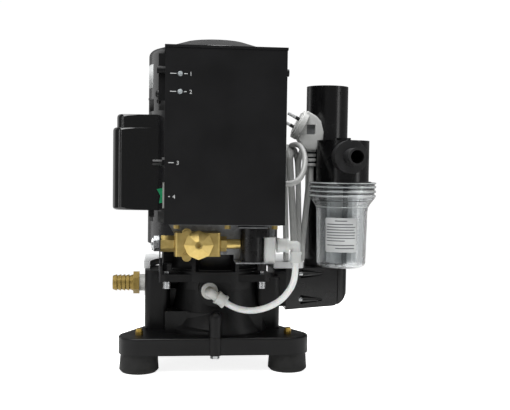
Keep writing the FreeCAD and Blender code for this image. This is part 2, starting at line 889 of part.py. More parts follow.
def make_motor():
    """Motor foot, shell, domed top, stator, bearings and their bracket."""
    foot = turned([
        (s.adapter_bore_r, cover_top),
        (s.adapter_r, cover_top),
        (s.adapter_r, adapter_top),
        (s.adapter_bore_r * 2, adapter_top),
        (s.adapter_bore_r * 2, low_bearing_z + s.bearing_tall + 2),
        (s.bearing_r, low_bearing_z + s.bearing_tall + 2),
        (s.bearing_r, low_bearing_z),
        (s.adapter_bore_r, low_bearing_z),
    ])
    node("motor_adapter", cut(foot, [cylinder(x, y, cover_top, s.cover_bolt_r, s.cover_head)
                                     for x, y in EARS]))
    inner = s.motor_r - s.motor_wall
    shell = turned([
        (s.adapter_bore_r * 2, adapter_top),
        (s.motor_r, adapter_top),
        (s.motor_r, shell_top),
        (inner, shell_top),
        (inner, adapter_top + s.motor_wall),
        (s.adapter_bore_r * 2, adapter_top + s.motor_wall),
    ])
    bracket_top = top_bearing_z + s.bearing_tall
    end_shield = turned([
        (s.bearing_r, top_bearing_z),
        (inner, top_bearing_z),
        (inner, top_bearing_z + s.spider_tall),
        (s.bearing_r + s.spider_tall, top_bearing_z + s.spider_tall),
        (s.bearing_r + s.spider_tall, bracket_top),
        (s.bearing_r, bracket_top),
    ])
    node("motor_shell", fuse([shell, end_shield]))
    wall = s.dome_wall
    node("motor_top_bell", turned([
        (inner, shell_top),
        (s.motor_r, shell_top),
        (s.motor_r, shell_top + s.dome_shoulder_up),
        (s.dome_step_r, shell_top + s.dome_step_up, s.dome_shoulder_r),
        (s.dome_flat_r, shell_top + s.dome_flat_up),
        (0, dome_top),
        (0, dome_top - wall),
        (s.dome_flat_r, shell_top + s.dome_flat_up - wall),
        (s.dome_step_r - wall, shell_top + s.dome_step_up - wall),
        (inner, shell_top + s.dome_shoulder_up),
    ]))
    core_top = stator_low + s.stator_tall
    node("stator_core", turned([
        (s.stator_bore_r, stator_low),
        (inner, stator_low),
        (inner, core_top),
        (s.stator_bore_r, core_top),
    ]))
    node("stator_windings", bundle([turned([
        (s.coil_bore_r, low),
        (s.coil_r, low),
        (s.coil_r, low + s.coil_end),
        (s.coil_bore_r, low + s.coil_end),
    ]) for low in (stator_low - s.coil_end, core_top)]))
    node("shaft_bearings", bundle([turned([
        (s.shaft_r + s.running_gap, low),
        (s.bearing_r, low),
        (s.bearing_r, low + s.bearing_tall),
        (s.shaft_r + s.running_gap, low + s.bearing_tall),
    ]) for low in (low_bearing_z, top_bearing_z)]))


def make_rotor():
    node("motor_shaft", cylinder(0, 0, shaft_low, s.shaft_r, shaft_top - shaft_low))
    node("rotor_core", turned([
        (s.shaft_r, stator_low),
        (s.rotor_r, stator_low),
        (s.rotor_r, stator_low + s.stator_tall),
        (s.shaft_r, stator_low + s.stator_tall),
    ]))
    fan = new_body(0, 0, fan_low)
    pad(fan, discs(fan, [(0, 0, s.fan_r)]), s.fan_disc)
    pad(fan, discs(fan, [(0, 0, s.fan_hub_r)]), s.fan_tall)
    half = s.fan_blade / 2
    blade = outline(fan, [(s.shaft_r, -half), (s.fan_r - half, -half), (s.fan_r - half, half), (s.shaft_r, half)])
    around(fan, pad(fan, blade, s.fan_tall), s.fan_blades)
    pocket(fan, discs(fan, [(0, 0, s.shaft_r)]), s.fan_tall, back=True)
    node("cooling_fan", fan)


def make_capacitor_cover():
    """Rounded box on the motor's left side, stepped in at the top, with two capacitors inside."""
    front, back = s.cap_y - s.cap_half, s.cap_y + s.cap_half
    step_z = s.cap_high - s.cap_step
    wall = s.cap_wall
    low_part = soft_block(s.cap_out, front, s.cap_low, s.cap_in + s.cap_corner, back, step_z, s.cap_corner)
    high_part = soft_block(s.cap_out + s.cap_step_in, front + s.cap_step_in, s.cap_low + s.cap_edge,
                           s.cap_in + s.cap_corner, back - s.cap_step_in, s.cap_high, s.cap_corner)
    soften(low_part, s.cap_edge, lambda edge: abs(edge.BoundBox.ZLength) < 0.01)
    soften(high_part, s.cap_edge, lambda edge: edge.BoundBox.ZMin > s.cap_high.value - s.cap_low.value - 5.1)
    shell = fuse([low_part, high_part])
    inside = soft_block(s.cap_out + wall, front + wall, s.cap_low + wall, s.cap_in + s.cap_corner,
                        back - wall, step_z - wall, s.cap_corner - wall)
    motor = cylinder(0, 0, s.cap_low - wall, s.motor_r, s.cap_high - s.cap_low + wall * 2)
    node("capacitor_cover", cut(shell, [inside, motor]))
    node("capacitors", bundle([
        cylinder(s.capacitor_x, s.cap_y + s.capacitor_apart / 2 * side, s.cap_low + wall, s.capacitor_r,
                 s.capacitor_tall) for side in (-1, 1)]))


make_base()
make_feet()
make_base_bolts()
make_casing()
make_cover()
make_impeller()
make_support_plate()
make_motor()
make_rotor()
make_capacitor_cover()


def make_control_box():
    """Sheet metal box on the motor's front: cover, back tray, rails, board, screws and lamps."""
    wall = s.box_wall
    outer = fuse([
        block(s.box_left, s.box_front, s.box_low, s.box_right, s.box_back, s.box_high),
        block(s.box_left - s.box_lid_out, s.box_front - s.box_lid_out, s.box_high - s.box_lid_lip,
              s.box_right + s.box_lid_out, s.box_back, s.box_high),
    ])
    room = block(s.box_left + wall, s.box_front + wall, s.box_low + wall, s.box_right - wall, s.box_back,
                 s.box_high - wall)
    lamps = [(s.lamp_x, s.lamp_high_z), (s.lamp_x, s.lamp_low_z)]
    screws = [(x, s.hex_screw_y) for x in (s.hex_screw_left_x, s.hex_screw_mid_x, s.hex_screw_right_x)]
    half, tall = s.switch_wide / 2, s.switch_tall / 2
    deep = wall * 2
    holes = [cylinder(x, s.box_front - wall / 2, z, s.lamp_r, deep, "Y") for x, z in lamps]
    holes += [cylinder(x, y, s.box_low - wall / 2, s.hex_screw_shank_r, deep) for x, y in screws]
    holes += [
        block(s.box_left - wall, s.side_y - half, s.switch_z - tall, s.box_left + deep, s.side_y + half,
              s.switch_z + tall),
        cylinder(s.box_left - wall, s.side_y, s.protector_z, s.protector_barrel_r, deep * 2, "X"),
        cylinder(s.box_right + wall, s.gland_y, s.gland_z, s.cord_r + wall, deep * 2, "-X"),
        cylinder(s.box_left - wall, s.side_screw_y, s.side_screw_z, s.hex_screw_shank_r, deep * 2, "X"),
        cylinder(s.box_right + wall, s.side_screw_y, s.side_screw_z, s.hex_screw_shank_r, deep * 2, "-X"),
    ]
    node("box_cover", cut(outer, [room, *holes]))

    tray = block(s.box_left + wall, s.box_back - s.tray_lip, s.box_low + wall, s.box_right - wall,
                 s.box_back + s.back_thick, s.box_high - wall)
    hollow = block(s.box_left + deep, s.box_back - s.tray_lip - wall, s.box_low + deep,
                   s.box_right - deep, s.box_back, s.box_high - deep)
    taps = [
        cylinder(s.box_left + wall / 2, s.side_screw_y, s.side_screw_z, s.hex_screw_shank_r, deep, "X"),
        cylinder(s.box_right - wall / 2, s.side_screw_y, s.side_screw_z, s.hex_screw_shank_r, deep, "-X"),
    ]
    rail_back = s.box_back + s.back_thick
    rails = [block(side * s.rail_off - s.rail_wide / 2, rail_back, s.rail_low,
                   side * s.rail_off + s.rail_wide / 2, -s.cap_half, s.rail_low + s.rail_tall)
             for side in (-1, 1)]
    motor = cylinder(0, 0, s.rail_low - wall, s.motor_r, s.rail_tall + deep)
    node("box_chassis", cut(fuse([tray, *rails]), [hollow, *taps, motor]))

    side_screws = []
    for x, along in ((s.box_left, "X"), (s.box_right, "-X")):
        sign = 1 if along == "X" else -1
        side_screws.append(fuse([
            cylinder(x - sign * s.side_screw_head, s.side_screw_y, s.side_screw_z, s.side_screw_r,
                     s.side_screw_head, along),
            cylinder(x, s.side_screw_y, s.side_screw_z, s.hex_screw_shank_r, deep, along),
        ]))
    node("box_side_screws", bundle(side_screws))
    head_top = s.box_low - s.sheet
    node("box_bottom_screws", bundle([fuse([
        hexagon(x, y, head_top - s.hex_screw_head, s.hex_screw_r, s.hex_screw_head),
        cylinder(x, y, head_top, s.hex_screw_shank_r, s.sheet + wall + s.hex_screw_head),
    ]) for x, y in screws]))
    node("indicator_lamps", bundle([fuse([
        cylinder(x, s.box_front + s.lamp_back, z, s.lamp_r, s.lamp_back, "-Y"),
        cone(x, s.box_front, z, s.lamp_r, s.lamp_r / 2, s.lamp_out, "-Y"),
    ]) for x, z in lamps]))

    board_y = s.box_back - s.board_stand
    centre = (s.box_left + s.box_right) / 2
    board_top = s.board_low + s.board_tall
    left, right = centre - s.board_wide / 2, centre + s.board_wide / 2
    posts = [cylinder(x, s.box_back, z, s.post_r, s.board_stand, "-Y")
             for x in (left + s.post_r, right - s.post_r)
             for z in (s.board_low + s.post_r, board_top - s.post_r)]
    relays = [block(left + s.post_r * 3, board_y - s.board_thick - s.relay_deep, z,
                    left + s.post_r * 3 + s.relay_wide, board_y - s.board_thick, z + s.relay_tall)
              for z in (s.board_low + s.relay_tall, s.board_low + s.relay_tall * 3)]
    board = block(left, board_y - s.board_thick, s.board_low, right, board_y, board_top)
    node("control_board", fuse([board, *posts, *relays]))


def make_side_controls():
    """Rocker main switch and the push button of the circuit protector, on the box's left side."""
    half, tall, rim = s.switch_wide / 2, s.switch_tall / 2, s.switch_rim
    pocket_r = s.rocker_r + s.rocker_gap
    opening = s.rocker_wide / 2 + s.rocker_gap
    shell = fuse([
        block(s.box_left, s.side_y - half, s.switch_z - tall, s.box_left + s.switch_deep, s.side_y + half,
              s.switch_z + tall),
        block(s.box_left - s.switch_flange, s.side_y - half - rim, s.switch_z - tall - rim, s.box_left,
              s.side_y + half + rim, s.switch_z + tall + rim),
    ])
    node("switch_bezel", cut(shell, [
        cylinder(s.rocker_x, s.side_y - opening, s.switch_z, pocket_r, opening * 2, "Y"),
        cylinder(s.rocker_x, s.side_y - half, s.switch_z, s.pin_r + s.pin_gap, s.switch_wide, "Y"),
    ]))
    rocker = new_body(s.rocker_x, s.side_y + s.rocker_wide / 2, s.switch_z, "Z",
                      (Vector(0, 1, 0), -s.rocker_lean.value))
    out, up, back = s.rocker_tip_out, s.rocker_tip_up, s.rocker_back
    pad(rocker, outline(rocker, [
        (-out, -up),
        (back / 2, -up),
        (back, -out / 2),
        (back, out / 2),
        (back / 2, up),
        (-out, up),
        (-s.rocker_mid_out, 0),
    ], "XZ_Plane"), s.rocker_wide)
    pins = cylinder(s.rocker_x, s.side_y - half + s.rocker_gap, s.switch_z, s.pin_r,
                    s.switch_wide - s.rocker_gap * 2, "Y")
    node("switch_rocker", fuse([rocker, pins]))

    nut = hexagon(s.box_left - s.protector_nut, s.side_y, s.protector_z, s.protector_r, s.protector_nut, "X")
    barrel = cylinder(s.box_left, s.side_y, s.protector_z, s.protector_barrel_r, s.protector_deep, "X")
    bore = cylinder(s.box_left - s.protector_nut, s.side_y, s.protector_z, s.button_r + s.button_gap,
                    s.protector_nut + s.button_tail + s.button_travel, "X")
    node("protector_body", cut(fuse([nut, barrel]), [bore]))
    node("protector_button", cylinder(s.box_left - s.button_out - s.protector_nut, s.side_y, s.protector_z,
                                      s.button_r, s.button_out + s.protector_nut + s.button_tail
                                      - s.button_travel / 2, "X"))


def make_valve_sheets():
    """Bent sheet that hangs from the box's bottom, and the strip that holds the water inlet."""
    top = s.box_low
    body = new_body(0, s.hanger_y, 0)
    pad(body, outline(body, [
        (s.hanger_left, top),
        (s.hanger_left, top - s.sheet * 2),
        (s.hanger_left + s.hanger_slope, hanger_low),
        (s.shelf_left, hanger_low),
        (s.shelf_left, shelf_z),
        (s.shelf_right, shelf_z),
        (s.hanger_right, top),
    ], "XZ_Plane"), s.sheet)
    shelf = block(s.shelf_left, s.shelf_front, shelf_z, s.shelf_right, s.hanger_y, shelf_z + s.sheet)
    flange = block(s.hanger_left, s.shelf_front - s.sheet * 2, top - s.sheet, s.hanger_right, s.hanger_y, top)
    screws = [cylinder(x, s.hex_screw_y, top - s.sheet * 2, s.hex_screw_shank_r, s.sheet * 3)
              for x in (s.hex_screw_left_x, s.hex_screw_mid_x, s.hex_screw_right_x)]
    node("valve_bracket", cut(fuse([body, shelf, flange]), screws))

    strip = new_body(s.inlet_strip_x - s.sheet / 2, 0, 0)
    foot_y = -s.ear_y - s.cover_bolt_r
    low = case_top + s.ear_thick
    wide = s.inlet_hex_r + s.sheet
    pad(strip, outline(strip, [
        (s.row_y - wide, low),
        (foot_y, low),
        (foot_y, low + s.inlet_foot_tall),
        (s.row_y + wide, low + s.inlet_foot_tall * 2),
        (s.row_y + wide, (row_z + s.inlet_strip_over)),
        (s.row_y - wide, (row_z + s.inlet_strip_over)),
    ], "YZ_Plane"), s.sheet)
    hole = cylinder(s.inlet_strip_x - s.sheet, s.row_y, row_z, s.nipple_r, s.sheet * 2, "X")
    node("inlet_bracket", cut(strip, [hole]))
    nipple_end = s.inlet_strip_x + s.sheet / 2
    node("water_inlet_fitting", cut(
        cylinder(s.nipple_left, s.row_y, row_z, s.nipple_r, nipple_end - s.nipple_left, "X"),
        [cylinder(s.nipple_left, s.row_y, row_z, s.nipple_bore_r, nipple_end - s.nipple_left, "X")]))


def make_brass_valve():
    """Brass valve body with its eight-sided bonnet, screw lugs, end nut and plug."""
    front = s.row_y - s.brass_half
    strip_face = s.inlet_strip_x + s.sheet / 2
    shell = soft_block(s.inlet_hex_right, front, row_z - s.brass_half, s.brass_right,
                       s.row_y + s.brass_half, row_z + s.brass_half, s.brass_edge)
    collar = hexagon(s.bonnet_x, front, row_z, s.bonnet_r, s.bonnet_base, "-Y", 8)
    rings = []
    for r, out in ((s.bonnet_r, 0), (s.bonnet_tip_r, s.bonnet_tall)):
        ring = doc.addObject("Part::RegularPolygon", "ring")
        ring.Polygon = 8
        bind(ring, Circumradius=r)
        rings.append(place(ring, s.bonnet_x, front - s.bonnet_base - out, row_z, "-Y"))
    pyramid = doc.addObject("Part::Loft", "pyramid")
    pyramid.Sections = rings
    pyramid.Solid = True
    pyramid.Ruled = True
    ends = [
        hexagon(strip_face, s.row_y, row_z, s.inlet_hex_r, s.inlet_hex_right - strip_face, "X"),
        hexagon(s.brass_right, s.row_y, row_z, s.plug_hex_r, s.plug_hex_right - s.brass_right, "X"),
        cylinder(s.plug_hex_right, s.row_y, row_z, s.plug_r, s.coil_x - s.coil_body_r - s.plug_hex_right,
                 "X"),
    ]
    lugs = [cylinder(s.lug_x, front + s.brass_edge, row_z + side * s.lug_off, s.lug_r,
                     s.brass_edge + s.lug_out, "-Y") for side in (-1, 1)]
    hole = cylinder(s.bonnet_x, front - s.bonnet_base - s.bonnet_tall, row_z, s.bonnet_hole_r,
                    s.bonnet_tall, "Y")
    screws = [cylinder(s.lug_x, front - s.lug_out, row_z + side * s.lug_off, s.lug_screw_r,
                       s.lug_screw_head, "-Y") for side in (-1, 1)]
    node("brass_valve_body", cut(fuse([shell, collar, pyramid, *ends, *lugs, *screws]), [hole]))


def make_solenoid():
    """Solenoid valve: coil round its core, top yoke and the grey valve body beside it."""
    low = shelf_z + s.sheet
    collar_low = coil_high - s.coil_collar
    winding = turned([
        (s.core_r, low),
        (s.coil_body_r, low),
        (s.coil_body_r, coil_high),
        (s.core_r, coil_high),
    ], s.coil_x, s.row_y, 0)
    collar = soft_block(s.coil_x, s.row_y - s.coil_body_r, collar_low, s.coil_x + s.coil_collar_right,
                        s.row_y + s.coil_body_r, coil_high, s.body_edge)
    node("solenoid_coil", cut(fuse([winding, collar]),
                              [cylinder(s.coil_x, s.row_y, low, s.core_r, coil_high - low)]))
    half = s.yoke_half
    node("solenoid_yoke", fuse([
        block(s.coil_x - half, s.row_y - half, coil_high, s.coil_x + half, s.row_y + half,
              coil_high + s.yoke_thick),
        cylinder(s.coil_x, s.row_y, low, s.core_r, coil_high - low),
    ]))
    body_left = s.coil_x + s.coil_body_r
    node("solenoid_body", soft_block(body_left, s.row_y - s.body_half, low, s.body_right,
                                     s.row_y + s.body_half, collar_low, s.body_edge))


def ringed(x, y, z, r, tall, along="Z"):
    """A collar with a raised ring at each end."""
    far = (x + tall - s.ring_tall, y, z) if along == "X" else (x, y, z + tall - s.ring_tall)
    return [
        cylinder(x, y, z, r, tall, along),
        cylinder(x, y, z, r + s.ring_out, s.ring_tall, along),
        cylinder(*far, r + s.ring_out, s.ring_tall, along),
    ]


def make_push_fittings():
    """Push-in fittings of the seal water tube: straight, elbow and the one on the pump."""
    z = elbow_z
    node("straight_fitting", fuse([
        cylinder(s.body_right, s.row_y, z, s.straight_neck_r, s.straight_left - s.body_right, "X"),
        *ringed(s.straight_left, s.row_y, z, s.straight_r, s.straight_right - s.straight_left, "X"),
    ]))
    node("upper_elbow", fuse([
        cylinder(s.straight_right, s.row_y, z, s.elbow_neck_r, s.elbow_x - s.straight_right, "X"),
        ball(s.elbow_x, s.row_y, z, s.elbow_r),
        cylinder(s.elbow_x, s.row_y, collar_top, s.elbow_r, z - collar_top),
        *ringed(s.elbow_x, s.row_y, elbow_low, s.elbow_collar_r, collar_top - elbow_low),
    ]))
    lean = (Vector(0, 1, 0), 90 + PUMP_DROP)
    x, z = pump_arm(s.pump_collar_off)
    end_x, end_z = pump_arm(s.pump_collar_off + s.pump_collar_long - s.ring_tall)
    node("pump_elbow", fuse([
        cylinder(s.pump_elbow_x, s.pad_face_y, pad_z, s.pump_ring_r, s.pump_ring_deep, "-Y"),
        cylinder(s.pump_elbow_x, s.pad_face_y, pad_z, s.pump_neck_r, s.pad_face_y - s.pump_elbow_y, "-Y"),
        cylinder(s.pump_elbow_x, s.pad_face_y, pad_z, s.water_bore_r, s.pump_ring_deep, "Y"),
        ball(s.pump_elbow_x, s.pump_elbow_y, pad_z, s.pump_neck_r),
        cylinder(s.pump_elbow_x, s.pump_elbow_y, pad_z, s.pump_neck_r, s.pump_collar_off, turn=lean),
        cylinder(x, s.pump_elbow_y, z, s.pump_collar_r, s.pump_collar_long, turn=lean),
        cylinder(x, s.pump_elbow_y, z, s.pump_collar_r + s.ring_out, s.ring_tall, turn=lean),
        cylinder(end_x, s.pump_elbow_y, end_z, s.pump_collar_r + s.ring_out, s.ring_tall, turn=lean),
    ]))


PUMP_DROP = SIZES["pump_elbow_drop"]


def pump_arm(reach):
    """A place on the pump elbow's leaning arm, as x and z."""
    lean = math.radians(PUMP_DROP)
    return s.pump_elbow_x + reach * math.cos(lean), pad_z - reach * math.sin(lean)


def cord_path(points, name):
    """Straight runs joined by tangent arcs, each as large as its two runs allow."""
    corners = [Vector(*point) for point in points]
    edges = []
    start = corners[0]
    for before, corner, after in zip(corners, corners[1:], corners[2:]):
        arrive, leave = corner.sub(before), after.sub(corner)
        run = min(arrive.Length, leave.Length)
        bend = arrive.getAngle(leave)
        radius = 0.45 * run / math.tan(bend / 2)
        arrive.normalize()
        leave.normalize()
        first, last = corner - arrive * (0.45 * run), corner + leave * (0.45 * run)
        inward = (leave - arrive).normalize()
        middle = corner + inward * (radius / math.cos(bend / 2) - radius)
        edges.append(Part.LineSegment(start, first).toShape())
        edges.append(Part.Arc(first, middle, last).toShape())
        start = last
        print(f"{name} bend radius {radius:.1f}")
    edges.append(Part.LineSegment(start, corners[-1]).toShape())
    return Part.Wire(edges)


def cord(label, points, r):
    """A cord as a tube, placed from the pump axis like every other piece."""
    path = cord_path(points, label)
    first, second = Vector(*points[0]), Vector(*points[1])
    section = Part.Wire(Part.Circle(first, second - first, r.value).toShape())
    piece = doc.addObject("Part::Feature", label)
    piece.Shape = path.makePipeShell([section], True, False)
    volume = math.pi * r.value ** 2 * path.Length
    print(f"{label} length {path.Length:.0f}, volume share {piece.Shape.Volume / volume:.4f}")
    return node(label, place(piece, 0, 0, 0))


def make_water_tube():
    """White tube from the upper elbow down and round to the fitting on the pump."""
    reach = s.pump_collar_off + s.pump_collar_long
    ends = [(x.value, s.pump_elbow_y.value, z.value) for x, z in (pump_arm(reach + s.tube_lead),
                                                                pump_arm(reach))]
    top = [(s.elbow_x.value, s.row_y.value, z.value) for z in (elbow_low, elbow_low - s.tube_lead)]
    route = [(90.0, -112.0, 112.0), (78.0, -104.0, 96.0), (61.0, -94.0, 84.5), (42.0, -84.0, 79.0)]
    cord("water_tube", [*top, *route, *ends], s.tube_r)


def make_discharge():
    """Brass hose barb on the casing's left column, with its light bushing."""
    ridge = (s.barb_hex_left - s.barb_tip) / s.barb_ridges
    long = s.barb_hex_right - s.barb_tip
    points = [(s.barb_bore_r, 0), (s.barb_r, 0)]
    for i in range(s_count("barb_ridges")):
        low = s.barb_hex_right - s.barb_hex_left + ridge * i
        points += [(s.barb_r + s.barb_ridge, low), (s.barb_r - s.barb_ridge / 2, low + ridge)]
    points += [(s.barb_bore_r, long)]
    barb = turned(points, s.barb_hex_right, 0, barb_z, "-X")
    nut = hexagon(s.barb_hex_right, 0, barb_z, s.barb_hex_r, s.barb_hex_right - s.barb_hex_left, "-X")
    bore = cylinder(s.barb_hex_right, 0, barb_z, s.barb_bore_r, long, "-X")
    node("discharge_barb", cut(fuse([barb, nut]), [bore]))
    out = -s.column_out - s.barb_hex_right
    node("barb_bushing", turned([
        (s.passage_r, -s.bush_deep),
        (s.bush_spigot_r, -s.bush_deep),
        (s.bush_spigot_r, 0),
        (s.bush_r, 0),
        (s.bush_r, out),
        (s.passage_r, out),
    ], -s.column_out, 0, barb_z, "-X"))


def s_count(name):
    return int(SIZES[name])


def make_inlet_chamber():
    """Moulded suction chamber between the pump and the pipe, with two tapered screw pockets."""
    top, corner = plate_low, s.chamber_corner
    body = new_body(0, s.chamber_back, 0)
    pad(body, outline(body, [
        (s.port_out, chamber_low),
        (s.chamber_right - corner, chamber_low + s.chamber_rise),
        (s.chamber_right, chamber_low + s.chamber_rise + corner, corner),
        (s.chamber_right, top),
        (s.port_out, top),
    ], "XZ_Plane"), s.chamber_back - s.chamber_front)
    body = shared([body, soft_block(s.port_out - s.chamber_side_edge * 2, s.chamber_front,
                                    chamber_low - s.split_deep, s.chamber_right, s.chamber_back, top + s.split_deep,
                                    s.chamber_side_edge)])
    wall = s.chamber_wall
    tools = [
        block(s.port_out + wall, s.chamber_front + wall + s.pocket_deep, chamber_low + wall + s.chamber_rise,
              s.chamber_right - wall - corner / 2, s.chamber_back - wall, top - wall - s.pipe_sink),
        cylinder(s.port_out, s.port_y, port_z, s.port_bore_r, wall, "X"),
        cylinder(s.pipe_x, s.pipe_y, top - wall * 2, s.pipe_r - s.pipe_wall, wall * 2),
        cylinder(s.pipe_x, s.pipe_y, top - s.pipe_sink, s.pipe_r, s.pipe_sink),
        block(s.chamber_split, s.chamber_front - s.split_deep, chamber_low - s.split_deep,
              s.chamber_split + s.split_gap, s.chamber_front + s.split_deep, top + s.split_deep),
    ]
    screws = []
    for z in (plate_low - s.pocket_low_drop, plate_low - s.pocket_high_drop):
        tools.append(cone(s.pocket_left, s.chamber_front, z, s.pocket_r, s.pocket_r / 4,
                          s.pocket_right - s.pocket_left, "X"))
        screws.append(cylinder(s.pocket_left - s.split_deep, s.chamber_front + s.split_deep, z,
                               s.chamber_screw_r, s.split_deep * 2, "X"))
    holes = [cylinder(s.pocket_left - s.split_deep, s.chamber_front + s.split_deep, z, s.chamber_screw_r,
                      s.split_deep * 2, "X") for z in (plate_low - s.pocket_low_drop, plate_low - s.pocket_high_drop)]
    node("inlet_chamber", cut(body, tools + holes))
    node("chamber_screws", bundle(screws))


def make_pipe():
    """Upright suction pipe, its top plug and the nipple to the filter."""
    bottom = plate_low - s.pipe_sink
    bore_r = s.pipe_r - s.pipe_wall
    tube = cylinder(s.pipe_x, s.pipe_y, bottom, s.pipe_r, s.pipe_top - bottom)
    node("standpipe", cut(tube, [
        cylinder(s.pipe_x, s.pipe_y, bottom, bore_r, s.pipe_top - bottom),
        cylinder(s.pipe_x, s.pipe_y - s.pipe_r, s.nozzle_z, s.filter_nipple_bore, s.pipe_r, "Y"),
    ]))
    node("standpipe_plug", cylinder(s.pipe_x, s.pipe_y, s.pipe_top - s.pipe_plug, bore_r, s.pipe_plug))
    nipple = cylinder(s.filter_x, s.filter_y, s.nozzle_z, s.filter_nipple_r, s.pipe_y - s.filter_y, "Y")
    node("strainer_nipple", cut(nipple, [
        cylinder(s.pipe_x, s.pipe_y, bottom, s.pipe_r, s.pipe_top - bottom),
        cylinder(s.filter_x, s.filter_y, head_low, s.head_r, head_high - head_low),
        cylinder(s.filter_x, s.filter_y, s.nozzle_z, s.filter_nipple_bore, s.pipe_y - s.filter_y, "Y"),
    ]))


def make_filter():
    """Suction filter: head, inlet nozzle, clear bowl, screen and sealing ring."""
    inner = s.head_r - s.head_wall
    web = head_low + s.head_top
    ceiling = head_high - s.head_top
    head = turned([
        (inner, collar_low),
        (s.collar_r, collar_low),
        (s.collar_r, head_low),
        (s.head_r, head_low),
        (s.head_r, head_high),
        (s.stub_top_r, head_high),
        (s.stub_top_r, head_high + s.stub_tall),
        (0, head_high + s.stub_tall),
        (0, ceiling),
        (inner, ceiling),
        (inner, web),
        (s.screen_r - s.screen_wall, web),
        (s.screen_r - s.screen_wall, head_low),
        (inner, head_low),
    ], s.filter_x, s.filter_y)
    node("strainer_head", cut(head, [
        cylinder(s.filter_x, s.filter_y, s.nozzle_z, s.head_port_r, s.head_r, "-Y"),
        cylinder(s.filter_x, s.filter_y, s.nozzle_z, s.filter_nipple_bore, s.head_r, "Y"),
    ]))
    inlet = fuse([
        cylinder(s.filter_x, s.filter_y, s.nozzle_z, s.nozzle_disc_r, s.filter_y - s.nozzle_disc_y, "-Y"),
        cylinder(s.filter_x, s.filter_y, s.nozzle_z, s.nozzle_r, s.filter_y - s.nozzle_tip_y, "-Y"),
    ])
    node("strainer_inlet", cut(inlet, [
        cylinder(s.filter_x, s.filter_y, head_low, s.head_r, head_high - head_low),
        cylinder(s.filter_x, s.filter_y, s.nozzle_z, s.nozzle_bore_r, s.filter_y - s.nozzle_tip_y, "-Y"),
    ]))
    wall = s.bowl_wall
    seat_r = s.collar_r + s.bowl_gap
    node("strainer_bowl", turned([
        (0, bowl_low),
        (s.bowl_bottom_r, bowl_low),
        (s.bowl_low_r, bowl_low + s.bowl_bottom_step),
        (s.bowl_r, (head_low - s.bowl_taper_drop)),
        (s.bowl_flange_r, (head_low - s.bowl_flange_drop)),
        (s.bowl_flange_r, (head_low - s.bowl_under_head)),
        (seat_r, (head_low - s.bowl_under_head)),
        (seat_r, (head_low - s.bowl_step_drop)),
        (s.bowl_r - wall, (head_low - s.bowl_taper_drop)),
        (s.bowl_low_r - wall, bowl_low + wall),
        (0, bowl_low + wall),
    ], s.filter_x, s.filter_y))
    node("strainer_screen", turned([
        (0, screen_low),
        (s.screen_r, screen_low),
        (s.screen_r, head_low),
        (s.screen_r - s.screen_wall, head_low),
        (s.screen_r - s.screen_wall, screen_low + s.screen_wall),
        (0, screen_low + s.screen_wall),
    ], s.filter_x, s.filter_y))
    middle = (inner + s.collar_r) / 2
    node("bowl_seal", turned([
        (middle - s.seal_ring_half, collar_low - s.seal_ring_tall),
        (middle + s.seal_ring_half, collar_low - s.seal_ring_tall),
        (middle + s.seal_ring_half, collar_low),
        (middle - s.seal_ring_half, collar_low),
    ], s.filter_x, s.filter_y))


